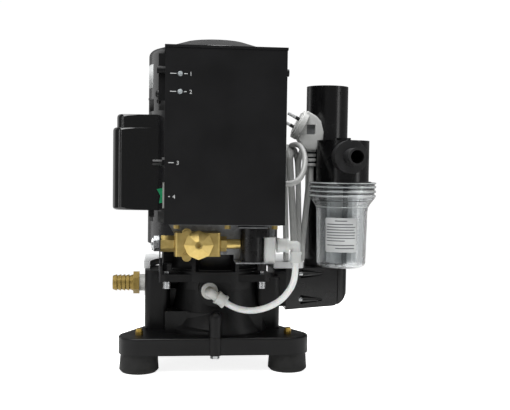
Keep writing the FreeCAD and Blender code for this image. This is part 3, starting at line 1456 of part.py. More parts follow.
def make_mains_cord():
    """Gland on the box, lead, coiled hank on the plate, tail and angled plug."""
    plate = block(s.box_right, s.gland_y - s.gland_half, s.gland_z - s.gland_half_tall,
                  s.box_right + s.gland_plate, s.gland_y + s.gland_half, s.gland_z + s.gland_half_tall)
    collar = cylinder(s.box_right, s.gland_y, s.gland_z, s.gland_r, s.gland_plate + s.gland_out, "X")
    bore = cylinder(s.box_right, s.gland_y, s.gland_z, s.cord_r, s.gland_plate + s.gland_out, "X")
    node("cord_gland", cut(fuse([plate, collar]), [bore]))
    hank = soft_block(s.hank_x - s.hank_half, s.hank_y - s.hank_deep, plate_top, s.hank_x + s.hank_half,
                      s.hank_y + s.hank_deep, s.hank_high, s.hank_edge)
    node("cord_hank", hank)
    gland_end = (s.box_right + s.gland_plate + s.gland_out).value
    hank_front = (s.hank_y - s.hank_deep).value
    hank_side = (s.hank_x + s.hank_half).value
    gland_y, gland_z = s.gland_y.value, s.gland_z.value
    cord("cord_lead", [(gland_end, gland_y, gland_z), (gland_end + s.cord_lead_out.value, gland_y, gland_z),
                       (117.0, -100.0, 246.0), (119.5, -81.0, 256.0), (117.0, -63.0, 269.0),
                       (111.5, -47.0, 279.0), (105.0, -33.0, 283.0), (99.5, hank_front, 277.0)], s.cord_r)
    lean = (Vector(0, 1, 0), SIZES["plug_lean"] - 90)
    x, z = s.plug_x, s.plug_z
    shell = new_body(0, s.plug_y + s.plug_half, 0)
    pad(shell, outline(shell, [
        (x - 6.5, z - 17),
        (x + 1.5, z - 25.5),
        (x + 7.4, z - 31),
        (x + 19.5, z - 29),
        (x + 27.4, z - 13.5, 14),
        (x + 20, z + 12.5, 24),
        (x + 3, z + 19.5),
    ], "XZ_Plane"), s.plug_half * 2)
    slot = block(x + s.plug_disc, s.plug_y - s.plug_half, z - s.plug_slot_tall / 2,
                 x + s.plug_disc + s.plug_slot, s.plug_slot_deep + s.plug_y - s.plug_half,
                 z + s.plug_slot_tall / 2)
    neck_high = z - s.plug_disc_r - s.plug_slot
    neck_low = neck_high - s.plug_neck
    rings = [cylinder(s.relief_x, s.plug_y, neck_low + s.relief_step * step, s.plug_neck_r, s.relief_ring)
             for step in range(4)]
    core = cylinder(s.relief_x, s.plug_y, neck_low, s.relief_core_r, s.plug_neck + s.plug_slot)
    disc = cylinder(x, s.plug_y, z, s.plug_disc_r, s.plug_disc, turn=lean)
    tilt = math.radians(SIZES["plug_lean"])
    pins = []
    for side in (-1, 1):
        pin_x = x - s.plug_disc * math.cos(tilt) + side * s.pin_apart * math.sin(tilt)
        pin_z = z + s.plug_disc * math.sin(tilt) + side * s.pin_apart * math.cos(tilt)
        pins.append(cylinder(pin_x, s.plug_y - side * s.pin_side, pin_z, s.plug_pin_r, s.pin_long, turn=lean))
    node("mains_plug", bundle([cut(fuse([shell, disc, core, *rings]), [slot]), *pins]))
    end_x, end_y, end_z = s.relief_x.value, s.plug_y.value, neck_low.value
    cord("cord_tail", [(end_x, end_y, end_z), (end_x, end_y, end_z - s.cord_lead_out.value),
                       (131.0, -5.0, 225.0), (130.5, 0.0, 205.0), (128.5, 3.0, 190.0),
                       (hank_side, 5.0, 176.0)], s.cord_r)


make_control_box()
make_side_controls()
make_valve_sheets()
make_brass_valve()
make_solenoid()
make_push_fittings()
make_water_tube()
make_discharge()
make_inlet_chamber()
make_pipe()
make_filter()
make_mains_cord()

doc.recompute()
for item in doc.Objects:
    if "Invalid" in item.State or "Error" in item.State:
        raise RuntimeError(f"{item.Name} {item.Label} failed: {item.State}")
os.makedirs("parts", exist_ok=True)
for item in NODES:
    if item.Shape.isNull() or not item.Shape.isValid():
        raise RuntimeError(f"{item.Label} has no valid shape")
    item.Shape.exportStep(f"parts/{item.Label}.step")
    print(item.Label, len(item.Shape.Solids), round(item.Shape.Volume))
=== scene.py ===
"""Looks of an upright liquid ring vacuum pump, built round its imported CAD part."""
import json
import math

import bmesh
import bpy
from mathutils import Matrix, Quaternion, Vector


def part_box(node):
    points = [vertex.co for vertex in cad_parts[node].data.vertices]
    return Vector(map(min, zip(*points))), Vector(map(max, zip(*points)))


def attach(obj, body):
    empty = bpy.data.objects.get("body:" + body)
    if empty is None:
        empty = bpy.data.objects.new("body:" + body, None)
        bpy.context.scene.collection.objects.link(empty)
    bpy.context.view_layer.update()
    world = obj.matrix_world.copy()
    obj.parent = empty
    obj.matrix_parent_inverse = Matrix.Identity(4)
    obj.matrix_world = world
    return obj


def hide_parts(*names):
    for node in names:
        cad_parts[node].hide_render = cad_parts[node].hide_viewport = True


bl_info = {
    "name": "Vacuum pump looks",
    "version": (1, 0, 0),
    "blender": (4, 5, 0),
    "location": "View3D > Sidebar > Vacuum pump",
    "description": "Finishes and detail pieces of an upright liquid ring vacuum pump",
    "category": "Object",
}

MM = 0.001
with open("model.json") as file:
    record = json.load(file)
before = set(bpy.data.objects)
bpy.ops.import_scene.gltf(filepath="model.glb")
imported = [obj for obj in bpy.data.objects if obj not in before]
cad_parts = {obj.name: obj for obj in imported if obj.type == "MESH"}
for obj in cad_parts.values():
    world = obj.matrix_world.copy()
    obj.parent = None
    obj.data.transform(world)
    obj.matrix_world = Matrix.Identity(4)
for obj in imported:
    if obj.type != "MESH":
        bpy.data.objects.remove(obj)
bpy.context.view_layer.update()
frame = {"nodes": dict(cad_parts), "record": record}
NODES = frame["nodes"]
SHAFT_LOW, SHAFT_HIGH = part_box("motor_shaft")
AXIS = (SHAFT_LOW + SHAFT_HIGH) / 2
HEAD_LOW, HEAD_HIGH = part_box("strainer_head")
BOWL_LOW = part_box("strainer_bowl")[0]
SCREEN_LOW, SCREEN_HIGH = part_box("strainer_screen")


def spot(x, y, z):
    """A place in the row frame, given in millimetres from the pump's axis and the floor."""
    return Vector((AXIS.x + x * MM, AXIS.y + y * MM, z * MM))


# Finishes

def linear(code, alpha=1.0):
    """An sRGB hex colour as the linear values that a shader takes."""
    parts = [int(code[i:i + 2], 16) / 255 for i in (1, 3, 5)]
    return [*(v / 12.92 if v <= 0.04045 else ((v + 0.055) / 1.055) ** 2.4 for v in parts), alpha]


def add(tree, kind, inputs=None, **settings):
    """One shader node with its settings, and its inputs set or linked."""
    node = tree.nodes.new(kind)
    for key, value in settings.items():
        setattr(node, key, value)
    for key, value in (inputs or {}).items():
        if isinstance(value, bpy.types.NodeSocket):
            tree.links.new(value, node.inputs[key])
        else:
            node.inputs[key].default_value = value
    return node


def start(name, **sockets):
    """A material with a Principled shader, whose own sockets hold what is the same all over."""
    material = bpy.data.materials.new(name)
    material.use_nodes = True
    tree = material.node_tree
    tree.nodes.clear()
    shader = add(tree, "ShaderNodeBsdfPrincipled", sockets)
    add(tree, "ShaderNodeOutputMaterial", {"Surface": shader.outputs[0]})
    return material, tree, shader


def finish(name, dark, light, rough, patch=12.0, grit=0.8, relief=0.02, squeeze=(1, 1, 1), **sockets):
    """A finish whose colour and gloss drift in patches, with a fine grit in its relief.

    rough is the lowest and highest roughness; patch and grit are sizes in millimetres, and relief
    is the grit's depth. squeeze stretches the pattern along an axis where it is below 1.
    """
    material, tree, shader = start(name, **sockets)
    place = add(tree, "ShaderNodeTexCoord").outputs["Object"]
    drift = add(tree, "ShaderNodeTexNoise", {"Vector": place, "Scale": 1 / (patch * MM), "Detail": 3.0})
    tone = add(tree, "ShaderNodeMix", {0: drift.outputs["Fac"], 6: linear(dark), 7: linear(light)},
               data_type="RGBA")
    gloss = add(tree, "ShaderNodeMapRange", {"Value": drift.outputs["Fac"], "From Min": 0.3,
                                             "From Max": 0.7, "To Min": rough[0], "To Max": rough[1]})
    stretch = add(tree, "ShaderNodeMapping", {"Vector": place, "Scale": squeeze})
    grain = add(tree, "ShaderNodeTexNoise", {"Vector": stretch.outputs[0], "Scale": 1 / (grit * MM),
                                             "Detail": 2.0})
    bump = add(tree, "ShaderNodeBump", {"Height": grain.outputs["Fac"], "Distance": relief * MM})
    tree.links.new(tone.outputs[2], shader.inputs["Base Color"])
    tree.links.new(gloss.outputs[0], shader.inputs["Roughness"])
    tree.links.new(bump.outputs[0], shader.inputs["Normal"])
    return material


def stacked_sheet_steel():
    """Stamped electrical steel in a stack: grey, with a line for each few sheets."""
    material, tree, shader = start("stacked_electrical_steel", Metallic=0.9)
    place = add(tree, "ShaderNodeTexCoord").outputs["Object"]
    lines = add(tree, "ShaderNodeTexWave", {"Vector": place, "Scale": 1 / (6.4 * MM), "Distortion": 0.3},
                bands_direction="Z")
    tone = add(tree, "ShaderNodeMix", {0: lines.outputs["Fac"], 6: linear("#5b5c5e"),
                                       7: linear("#8d8e90")}, data_type="RGBA")
    gloss = add(tree, "ShaderNodeMapRange", {"Value": lines.outputs["Fac"], "To Min": 0.35, "To Max": 0.6})
    bump = add(tree, "ShaderNodeBump", {"Height": lines.outputs["Fac"], "Distance": 0.1 * MM})
    tree.links.new(tone.outputs[2], shader.inputs["Base Color"])
    tree.links.new(gloss.outputs[0], shader.inputs["Roughness"])
    tree.links.new(bump.outputs[0], shader.inputs["Normal"])
    return material


def galvanised_sheet():
    """Zinc dipped sheet: crystal patches of slightly different grey and gloss."""
    material, tree, shader = start("galvanised_sheet_steel", Metallic=0.85)
    place = add(tree, "ShaderNodeTexCoord").outputs["Object"]
    crystals = add(tree, "ShaderNodeTexVoronoi", {"Vector": place, "Scale": 1 / (5 * MM)})
    shade = add(tree, "ShaderNodeRGBToBW", {"Color": crystals.outputs["Color"]})
    tone = add(tree, "ShaderNodeMix", {0: shade.outputs[0], 6: linear("#8e9092"), 7: linear("#b4b6b8")},
               data_type="RGBA")
    gloss = add(tree, "ShaderNodeMapRange", {"Value": shade.outputs[0], "To Min": 0.28, "To Max": 0.48})
    tree.links.new(tone.outputs[2], shader.inputs["Base Color"])
    tree.links.new(gloss.outputs[0], shader.inputs["Roughness"])
    return material


def clear_polycarbonate():
    """Clear moulded polycarbonate: water clear, bright along its rims, with faint waves in the wall."""
    material, tree, shader = start("clear_moulded_polycarbonate", Roughness=0.03, IOR=1.42, Alpha=0.62,
                                   **{"Transmission Weight": 1.0, "Base Color": linear("#eef1f2")})
    place = add(tree, "ShaderNodeTexCoord").outputs["Object"]
    waves = add(tree, "ShaderNodeTexNoise", {"Vector": place, "Scale": 1 / (9 * MM)})
    bump = add(tree, "ShaderNodeBump", {"Height": waves.outputs["Fac"], "Distance": 0.1 * MM})
    tree.links.new(bump.outputs[0], shader.inputs["Normal"])
    return material


def wound_copper():
    """Enamelled copper wire under varnish: fine turns lying round the stator."""
    material, tree, shader = start("varnished_copper_wire", Metallic=0.6, Roughness=0.35,
                                   **{"Coat Weight": 0.4})
    place = add(tree, "ShaderNodeTexCoord").outputs["Object"]
    turns = add(tree, "ShaderNodeTexWave", {"Vector": place, "Scale": 1 / (8 * MM), "Distortion": 3.0},
                bands_direction="Z")
    tone = add(tree, "ShaderNodeMix", {0: turns.outputs["Fac"], 6: linear("#5d2a12"),
                                       7: linear("#b0602f")}, data_type="RGBA")
    bump = add(tree, "ShaderNodeBump", {"Height": turns.outputs["Fac"], "Distance": 0.3 * MM})
    tree.links.new(tone.outputs[2], shader.inputs["Base Color"])
    tree.links.new(bump.outputs[0], shader.inputs["Normal"])
    return material


def make_finishes():
    """Every finish, by the record's material slot that it belongs to."""
    return {
        # Cast iron under satin black enamel: soft shine over a faintly pebbled skin.
        "black_casting": finish("satin_enamelled_cast_iron", "#040405", "#0a0a0b", (0.34, 0.46), 22, 2.4,
                                0.09, IOR=1.5, **{"Specular IOR Level": 0.28}),
        # Moulded nitrile rubber: dull, near black, slightly dusty.
        "black_rubber": finish("moulded_nitrile_rubber", "#080808", "#121211", (0.55, 0.75), 9, 0.9, 0.05,
                               IOR=1.45),
        # Yellow passivated zinc: gold with a faint rainbow drift.
        "yellow_zinc": finish("yellow_passivated_zinc", "#a8873a", "#c7ab5e", (0.28, 0.42), 3, 0.6, 0.01,
                              Metallic=0.95),
        # Bright zinc plating on screws: cool silver with small sharp glints.
        "bright_screws": finish("bright_zinc_plated_steel", "#a9abad", "#cfd1d2", (0.2, 0.34), 3, 0.6, 0.01,
                                Metallic=1.0),
        # Ground steel with fine marks drawn round the shaft.
        "seal_steel": finish("ground_steel", "#8d8f91", "#b2b4b6", (0.18, 0.3), 6, 0.5, 0.01,
                             squeeze=(1, 1, 8), Metallic=1.0),
        # Sand cast bronze: brown gold with a rough skin.
        "bronze": finish("sand_cast_bronze", "#8a5f30", "#b28248", (0.3, 0.5), 6, 1.2, 0.05, Metallic=1.0),
        # Sheet steel under light grey powder coat.
        "grey_plate": finish("light_grey_powder_coat", "#e0e2e2", "#f2f3f3", (0.42, 0.52), 18, 0.9, 0.03,
                             IOR=1.5),
        # Drawn steel under gloss black enamel: deep, mirror-like, with a little orange peel.
        "black_gloss": finish("gloss_black_enamel", "#08080a", "#0e0e10", (0.2, 0.3), 30, 9.0, 0.01,
                              IOR=1.52, **{"Coat Weight": 0.3, "Coat Roughness": 0.12}),
        "core_steel": stacked_sheet_steel(),
        "winding": wound_copper(),
        # Dull dark nylon of the fan.
        "fan_plastic": finish("moulded_nylon", "#171717", "#222222", (0.42, 0.55), 9, 0.9, 0.03, IOR=1.53),
        # Gloss black moulding that mirrors the lights softly.
        "cover_gloss": finish("gloss_black_abs", "#040405", "#070708", (0.1, 0.16), 24, 6.0, 0.02,
                              IOR=1.54, **{"Coat Weight": 0.3, "Coat Roughness": 0.06}),
        # Drawn aluminium cans with a light satin skin.
        "capacitor": finish("drawn_aluminium_can", "#9fa19f", "#bcbebb", (0.3, 0.42), 6, 0.8, 0.02,
                            Metallic=0.9),
        # Fine textured powder coat on folded steel: flat charcoal with a tight sparkle.
        "box_black": finish("fine_black_powder_coat", "#09090a", "#111113", (0.44, 0.54), 40, 0.9, 0.03,
                            IOR=1.4, **{"Specular IOR Level": 0.4}),
        # Machined brass: warm yellow, bright on its edges, drawn tool marks.
        "brass": finish("machined_brass", "#c2a558", "#e0c886", (0.3, 0.44), 5, 0.7, 0.02,
                        squeeze=(6, 1, 1), Metallic=0.9),
        # Brass that handling and water have dulled.
        "worn_brass": finish("dulled_cast_brass", "#7d6833", "#a08a4f", (0.42, 0.56), 4, 0.8, 0.04,
                             Metallic=0.85),
        # Clear domed lenses of the lamps, nearly white.
        "lamp": finish("clear_epoxy_lens", "#c3ccd0", "#e3eaec", (0.06, 0.12), 3, 0.8, 0.01, IOR=1.5,
                       **{"Transmission Weight": 0.4}),
        # Green circuit board with a slight shine.
        "board": finish("glass_epoxy_board", "#0d3a22", "#17512f", (0.3, 0.42), 6, 0.8, 0.02, IOR=1.55),
        # Satin light moulding round the switch.
        "light_bezel": finish("moulded_light_polycarbonate", "#8f908c", "#a9aaa6", (0.35, 0.45), 6, 0.8,
                              0.02, IOR=1.58),
        # Tinted translucent switch plastic.
        "green_rocker": finish("tinted_green_polycarbonate", "#0b8050", "#1aa66c", (0.14, 0.22), 5, 0.8,
                               0.01, IOR=1.58, **{"Transmission Weight": 0.25, "Coat Weight": 0.3}),
        # Black nylon with a faint fibre grain.
        "black_plastic": finish("glass_filled_nylon", "#050506", "#0b0b0c", (0.24, 0.36), 9, 0.9, 0.04,
                                IOR=1.45),
        "zinc_sheet": galvanised_sheet(),
        # Dark sheet steel with a dull bloom.
        "dark_sheet": finish("dark_phosphated_sheet", "#2a2a2b", "#3d3d3f", (0.4, 0.55), 9, 0.8, 0.03,
                             Metallic=0.5),
        # Acetal push-in fittings: light grey, waxy.
        "grey_polymer": finish("moulded_acetal", "#bfc1bf", "#d6d8d6", (0.28, 0.4), 8, 0.9, 0.02, IOR=1.48,
                               **{"Subsurface Weight": 0.08, "Subsurface Scale": 0.002}),
        # White tube that lets a little light through.
        "white_tube": finish("extruded_polyurethane", "#dcdedd", "#eceeed", (0.22, 0.32), 12, 1.4, 0.02,
                             IOR=1.5, **{"Subsurface Weight": 0.2, "Subsurface Scale": 0.003}),
        # Turned pale plastic with tool marks round it.
        "bushing": finish("turned_acetal", "#b3b3ae", "#c8c8c3", (0.35, 0.45), 5, 0.6, 0.02,
                          squeeze=(8, 1, 1), IOR=1.48),
        # Satin injection moulding with a spark-eroded skin.
        "black_moulding": finish("satin_black_abs", "#070708", "#0e0e0f", (0.2, 0.3), 26, 1.0, 0.03,
                                 IOR=1.5),
        "clear_bowl": clear_polycarbonate(),
        # Bright drawn wire of the strainer's mesh.
        "screen_mesh": finish("woven_stainless_wire", "#969a9b", "#c4c7c8", (0.3, 0.42), 2.6, 0.6, 0.01,
                              Metallic=0.6),
        # Soft light grey jacket with a gentle sheen.
        "grey_cord": finish("flexible_pvc_jacket", "#9fa09e", "#b3b4b2", (0.36, 0.48), 14, 1.1, 0.03,
                            IOR=1.53),
        # The plug's paler grey, moulded and satin.
        "grey_plug": finish("moulded_grey_pvc", "#bcbdbb", "#d2d3d1", (0.34, 0.46), 10, 1.0, 0.03,
                            IOR=1.53),
        # Opaque white screen ink.
        "print": finish("white_screen_ink", "#c2c4c4", "#dcdede", (0.5, 0.6), 4, 0.5, 0.01, IOR=1.5),
        # Smooth pale label stock.
        "paper": finish("coated_label_paper", "#c9cbcb", "#d8dada", (0.45, 0.55), 8, 0.6, 0.01, IOR=1.5),
        # Mid grey ink, and painted shade on the floor of the plug's clip recess.
        "ink_and_recess_shade": finish("grey_ink_and_painted_recess_shade", "#5f6163", "#7d7f81", (0.5, 0.6), 3, 0.5, 0.01, IOR=1.5),
        # The coarser skin of a separate moulding: a little paler than the satin ones. On the nozzle's rims
        # this paler tone is a painted highlight.
        "rough_moulding_and_rim_highlight": finish("spark_eroded_black_abs_and_painted_rim_highlight", "#131314", "#1d1d1e", (0.42, 0.54), 12, 0.9, 0.05,
                                 IOR=1.53),
        # A darker strip down the front of the mesh.
        "darker_strip_steel": finish("darker_stainless_strip", "#3a3d3e", "#4e5152", (0.34, 0.46), 5, 0.6, 0.01,
                             Metallic=0.6),
        # Painted highlight on a clear moulding's ridges, and painted shade in the gaps between them.
        "painted_ridge_highlight": finish("painted_highlight_on_clear_ridges", "#dfe3e4", "#f2f4f4", (0.05, 0.1), 9, 0.9, 0.01,
                               IOR=1.58, Alpha=0.75),
        "painted_gap_shade": finish("painted_shade_between_clear_ridges", "#2b2d2e", "#3c3e3f", (0.2, 0.3), 9, 0.9, 0.01,
                            IOR=1.58, Alpha=0.6),
        # Bright satin plating of the plug's pins.
        "pin_steel": finish("nickel_plated_brass_pin", "#c9cbcc", "#e6e7e7", (0.3, 0.42), 4, 0.6, 0.01,
                            Metallic=0.5),
        # Painted shade: a nearly black, dull finish put where an opening lies in shade.
        "shadow": finish("painted_shade_in_an_opening", "#020202", "#050505", (0.7, 0.8), 6, 0.9, 0.02,
                         IOR=1.5),
    }


FINISHES = {}
# Solids that share a slot in the record and are another moulding on the real one.
SEPARATE = {"strainer_inlet": "rough_moulding_and_rim_highlight", "chamber_screws": "bright_screws",
            "discharge_barb": "worn_brass"}


def piece(name, form, slot, body, stands_for=(), angle=35, finishes=None):
    """Turn a bmesh into a named piece that rides on a body and has a finish."""
    mesh = bpy.data.meshes.new(name)
    form.to_mesh(mesh)
    form.free()
    mesh.shade_smooth()
    mesh.set_sharp_from_angle(angle=math.radians(angle))
    thing = dress(bpy.data.objects.new(name, mesh), slot, body, stands_for, finishes)
    thing.modifiers.new("even_faces", "WEIGHTED_NORMAL").keep_sharp = True
    return thing


def dress(thing, slot, body, stands_for=(), finishes=None):
    """Link a piece, give it its finish, and let it ride on a body."""
    bpy.context.scene.collection.objects.link(thing)
    for wanted in finishes or [slot]:
        thing.data.materials.append(FINISHES[wanted])
    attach(thing, body)
    if stands_for:
        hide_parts(*stands_for)
    return thing


def ring_of(profile, centre, steps=64):
    """A closed profile of (radius, height) in millimetres, turned once round a vertical line."""
    form = bmesh.new()
    corners = [form.verts.new(centre + Vector((r * MM, 0, z * MM))) for r, z in profile]
    edges = [form.edges.new((corners[i - 1], corners[i])) for i in range(len(corners))]
    bmesh.ops.spin(form, geom=corners + edges, cent=centre, axis=(0, 0, 1), angle=math.tau,
                   steps=steps, use_merge=True)
    bmesh.ops.remove_doubles(form, verts=form.verts, dist=1e-6)
    bmesh.ops.recalc_face_normals(form, faces=form.faces)
    return form


def slab(form, low, high):
    """Add a block between two corners to a bmesh."""
    made = bmesh.ops.create_cube(form, size=1.0)["verts"]
    bmesh.ops.scale(form, vec=high - low, verts=made)
    bmesh.ops.translate(form, vec=(low + high) / 2, verts=made)
    return made


class PumpSizes(bpy.types.PropertyGroup):
    """Sizes of the detail pieces."""

    cord: bpy.props.FloatProperty(name="Mains cord", description="Thickness of the mains cord",
                                  default=7.2 * MM, subtype="DISTANCE")
    tube: bpy.props.FloatProperty(name="Water tube", description="Thickness of the water tube",
                                  default=8.0 * MM, subtype="DISTANCE")
    fold: bpy.props.FloatProperty(name="Fold", description="Radius of a fold of the hank",
                                  default=21.4 * MM, subtype="DISTANCE")
    wire: bpy.props.FloatProperty(name="Wire", description="Thickness of the strainer's wire",
                                  default=1.05 * MM, subtype="DISTANCE")
    weave: bpy.props.FloatProperty(name="Weave", description="Pitch of the strainer's wires",
                                   default=1.5 * MM, subtype="DISTANCE")


class PumpStage(bpy.types.PropertyGroup):
    """Camera and floor."""

    floor: bpy.props.FloatVectorProperty(name="Floor", description="Colour of the floor", size=4,
                                         default=linear("#f1f1f0"), subtype="COLOR")
    lens: bpy.props.FloatProperty(name="Lens", description="Focal length in millimetres",
                                  default=36 * 820 / 510)


class PUMP_OT_nodes(bpy.types.Operator):
    """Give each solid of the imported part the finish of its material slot"""

    bl_idname = "pump.nodes"
    bl_label = "Finish the solids"

    def execute(self, context):
        FINISHES.update(make_finishes())
        for row in frame["record"]["subparts"]:
            finish_name = SEPARATE.get(row["node"], row["material_slot"])
            for held in NODES[row["node"]].material_slots:
                held.material = FINISHES[finish_name]
        return {"FINISHED"}


class PUMP_OT_panel_print(bpy.types.Operator):
    """Print the white leader lines and plain numbers on the control box"""

    bl_idname = "pump.panel_print"
    bl_label = "Panel print"

    # Height, start and end of each line from the pump's axis, in millimetres.
    LINES = ((367, -60, -53), (367, -44, -40), (346.5, -60, -53), (346.5, -44, -41), (265, -61, -55),
             (226, -61, -59))
    NUMBERS = ((367, -38), (346.5, -38), (265, -52), (226, -56))

    def execute(self, context):
        skin, ink, stroke, tall = -150.0, 0.12, 0.8, 4.6
        form = bmesh.new()
        for z, left, right in self.LINES:
            slab(form, spot(left, skin - ink, z - stroke / 2), spot(right, skin, z + stroke / 2))
        for number, (z, left) in enumerate(self.NUMBERS, 1):
            letter = bpy.data.curves.new("digit", "FONT")
            letter.body = str(number)
            letter.size = tall * 1.4 * MM
            letter.extrude = ink / 2 * MM
            shown = bpy.data.objects.new("digit", letter)
            digit = bpy.data.meshes.new_from_object(shown)
            digit.transform(Matrix.Translation(spot(left, skin - ink / 2, z - tall / 2))
                            @ Matrix.Rotation(math.pi / 2, 4, "X"))
            form.from_mesh(digit)
            bpy.data.objects.remove(shown)
        piece("panel_print", form, "box_black", "pump", finishes=["print"])
        return {"FINISHED"}


def smooth_cord(name, points, thick, slot, stands_for):
    """A tube along a smooth curve that has these points as its control points."""
    line = bpy.data.curves.new(name, "CURVE")
    line.dimensions = "3D"
    line.bevel_depth = thick / 2
    line.bevel_resolution = 5
    line.resolution_u = line.render_resolution_u = 8
    line.use_fill_caps = True
    run = line.splines.new("NURBS")
    run.points.add(len(points) - 1)
    for held, point in zip(run.points, points):
        held.co = (*point, 1)
    run.order_u = 3
    run.use_endpoint_u = True
    return dress(bpy.data.objects.new(name, line), slot, "pump", stands_for)


def outline_form(corners, near, far):
    """A block whose outline is drawn in the plane of the box's front, between two depths."""
    form = bmesh.new()
    face = form.faces.new([form.verts.new(spot(x, near, z)) for x, z in corners])
    made = bmesh.ops.extrude_face_region(form, geom=[face])["geom"]
    bmesh.ops.translate(form, vec=(0, (far - near) * MM, 0), verts=moved(made))
    bmesh.ops.recalc_face_normals(form, faces=form.faces)
    return form


def soften(form, edges, size, segments=3):
    """Round edges of a bmesh, in millimetres."""
    bmesh.ops.bevel(form, geom=edges, offset=size * MM, segments=segments, profile=0.5, material=-1,
                    affect="EDGES", clamp_overlap=True)


def rod(form, start_at, along, radius, long, segments=32):
    """Add a closed round rod, in millimetres, from a place and along a direction."""
    turn = Vector(along).to_track_quat("Z", "Y").to_matrix().to_4x4()
    middle = start_at + Vector(along).normalized() * long / 2 * MM
    return bmesh.ops.create_cone(form, cap_ends=True, segments=segments, radius1=radius * MM,
                                 radius2=radius * MM, depth=long * MM,
                                 matrix=Matrix.Translation(middle) @ turn)["verts"]


def rims_of(verts):
    """The edges of these vertices where two faces meet at a clear angle."""
    edges = {e for v in verts for e in v.link_edges}
    return [e for e in edges if len(e.link_faces) == 2 and e.calc_face_angle() > 1.2]


def moved(made):
    """The vertices in what an extrusion made."""
    return [g for g in made if isinstance(g, bmesh.types.BMVert)]


def take_in(form, extra):
    """Add the faces of another bmesh to a bmesh, and free the other one."""
    held = bpy.data.meshes.new("part")
    extra.to_mesh(held)
    extra.free()
    form.from_mesh(held)
    bpy.data.meshes.remove(held)


def curved_strip(form, rims, first, last, columns):
    """Add a strip between two level arcs, each given by its middle and radius, from angle to angle."""
    loops = [[form.verts.new(middle + radius * Vector((math.cos(a), math.sin(a), 0)))
              for a in (first + (last - first) * i / columns for i in range(columns + 1))]
             for middle, radius in rims]
    bmesh.ops.bridge_loops(form, edges=[form.edges.new(pair) for loop in loops
                                        for pair in zip(loop, loop[1:])])


def seen_rays(tree):
    """1 where the camera looks, straight or through clear plastic, and 0 where light is gathered."""
    path = add(tree, "ShaderNodeLightPath").outputs
    return add(tree, "ShaderNodeMath", {0: path["Is Camera Ray"], 1: path["Is Transmission Ray"]},
               operation="MAXIMUM").outputs[0]


class PUMP_OT_plug(bpy.types.Operator):
    """Angled mains plug with a disc, two sleeved pins and a ringed strain relief, with painted shade in the
    relief's slots and on the clip recess's floor
    """

    bl_idname = "pump.plug"
    bl_label = "Mains plug"

    # The shell's outline from the front, and the left, right, low and high sides of its clip recess.
    SHELL = ((110, 301), (117.5, 290), (124, 284.5), (136, 284.5), (139, 291), (145.2, 299), (146, 309),
             (142.2, 323.6), (136, 330), (124.5, 336.6), (117, 334))
    CLIP = (122.6, 134.2, 305.6, 318.6)
    # The middle of the pins' disc, half the shell's thickness, and how far the pins lean from the level.
    DISC, HALF, LEAN = (117.6, -5.5, 316.7), 11.5, math.radians(28)
    # The strain relief's foot and height, and the pitch, height and number of its rings.
    RELIEF_X, RELIEF_FOOT, RELIEF_TALL = 131, 263.2, 24.5
    RING_PITCH, RING_TALL, RINGS = 6.4, 3.9, 4

    def execute(self, context):
        (x, y, z), half, lean = self.DISC, self.HALF, self.LEAN
        along = Vector((-math.cos(lean), 0, math.sin(lean)))
        across = Vector((math.sin(lean), 0, math.cos(lean)))
        form = outline_form(self.SHELL, y - half, y + half)
        soften(form, [e for e in form.edges if abs(e.verts[0].co.y - e.verts[1].co.y) < 1e-6], 3.2, 2)
        left, right, low, high = self.CLIP
        for place, normal in ((spot(left, 0, 0), (1, 0, 0)), (spot(right, 0, 0), (1, 0, 0)),
                              (spot(0, 0, low), (0, 0, 1)), (spot(0, 0, high), (0, 0, 1))):
            bmesh.ops.bisect_plane(form, geom=[*form.verts, *form.edges, *form.faces], plane_co=place,
                                   plane_no=normal)
        bottom = spot((left + right) / 2, y - half, (low + high) / 2)
        recess = [f for f in form.faces if (f.calc_center_median() - bottom).length < 3 * MM]
        made = bmesh.ops.extrude_face_region(form, geom=recess)["geom"]
        bmesh.ops.delete(form, geom=recess, context="FACES_ONLY")
        bmesh.ops.translate(form, vec=(0, 6 * MM, 0), verts=moved(made))
        disc = bmesh.new()
        rod(disc, spot(x, y, z) - along * 1.5 * MM, along, 20, 8.4, 64)
        soften(disc, rims_of(disc.verts), 1.4)
        rod(disc, spot(x, y, z) + along * 6.8 * MM, along, 15.5, 1.4, 64)
        relief = bmesh.new()
        ring_feet = [self.RELIEF_FOOT + self.RING_PITCH * i for i in range(self.RINGS)]
        for foot, tall, radius in ((self.RELIEF_FOOT, self.RELIEF_TALL, 5.0),
                                   *((foot, self.RING_TALL, 6.4) for foot in ring_feet)):
            ends = rod(relief, spot(self.RELIEF_X, y, foot), (0, 0, 1), radius, tall)
            soften(relief, rims_of(ends), 0.7, 2)
        for extra in (disc, relief):
            take_in(form, extra)
        bmesh.ops.recalc_face_normals(form, faces=form.faces)
        piece("plug_shell", form, "grey_plug", "pump", ("mains_plug",), angle=30)
        pins, sleeves = bmesh.new(), bmesh.new()
        for side in (-1, 1):
            foot = spot(x, y - side * 7.9, z) + along * 7 * MM + across * (side * 5.3 * MM)
            ends = rod(pins, foot, along, 2.2, 18.6)
            soften(pins, rims_of(ends), 0.8)
            rod(sleeves, foot, along, 2.4, 7)
        piece("plug_pins", pins, "grey_plug", "pump", finishes=["pin_steel"])
        piece("plug_sleeves", sleeves, "grey_plug", "pump", finishes=["rough_moulding_and_rim_highlight"])
        # Dark rings of painted shade in the slots between the strain relief's rings.
        slots = bmesh.new()
        for foot in ring_feet[:-1]:
            rod(slots, spot(self.RELIEF_X, y, foot + 4.1), (0, 0, 1), 5.6, 2.0)
        piece("relief_slot_shade", slots, "grey_plug", "pump", finishes=["shadow"])
        # A mid grey slab on the floor of the clip recess: painted shade.
        floor = bmesh.new()
        slab(floor, spot(left + 0.2, y - half + 5.6, low + 0.2),
             spot(right - 0.2, y - half + 5.9, high - 0.2))
        piece("clip_recess_shade", floor, "grey_plug", "pump", finishes=["ink_and_recess_shade"])
        return {"FINISHED"}


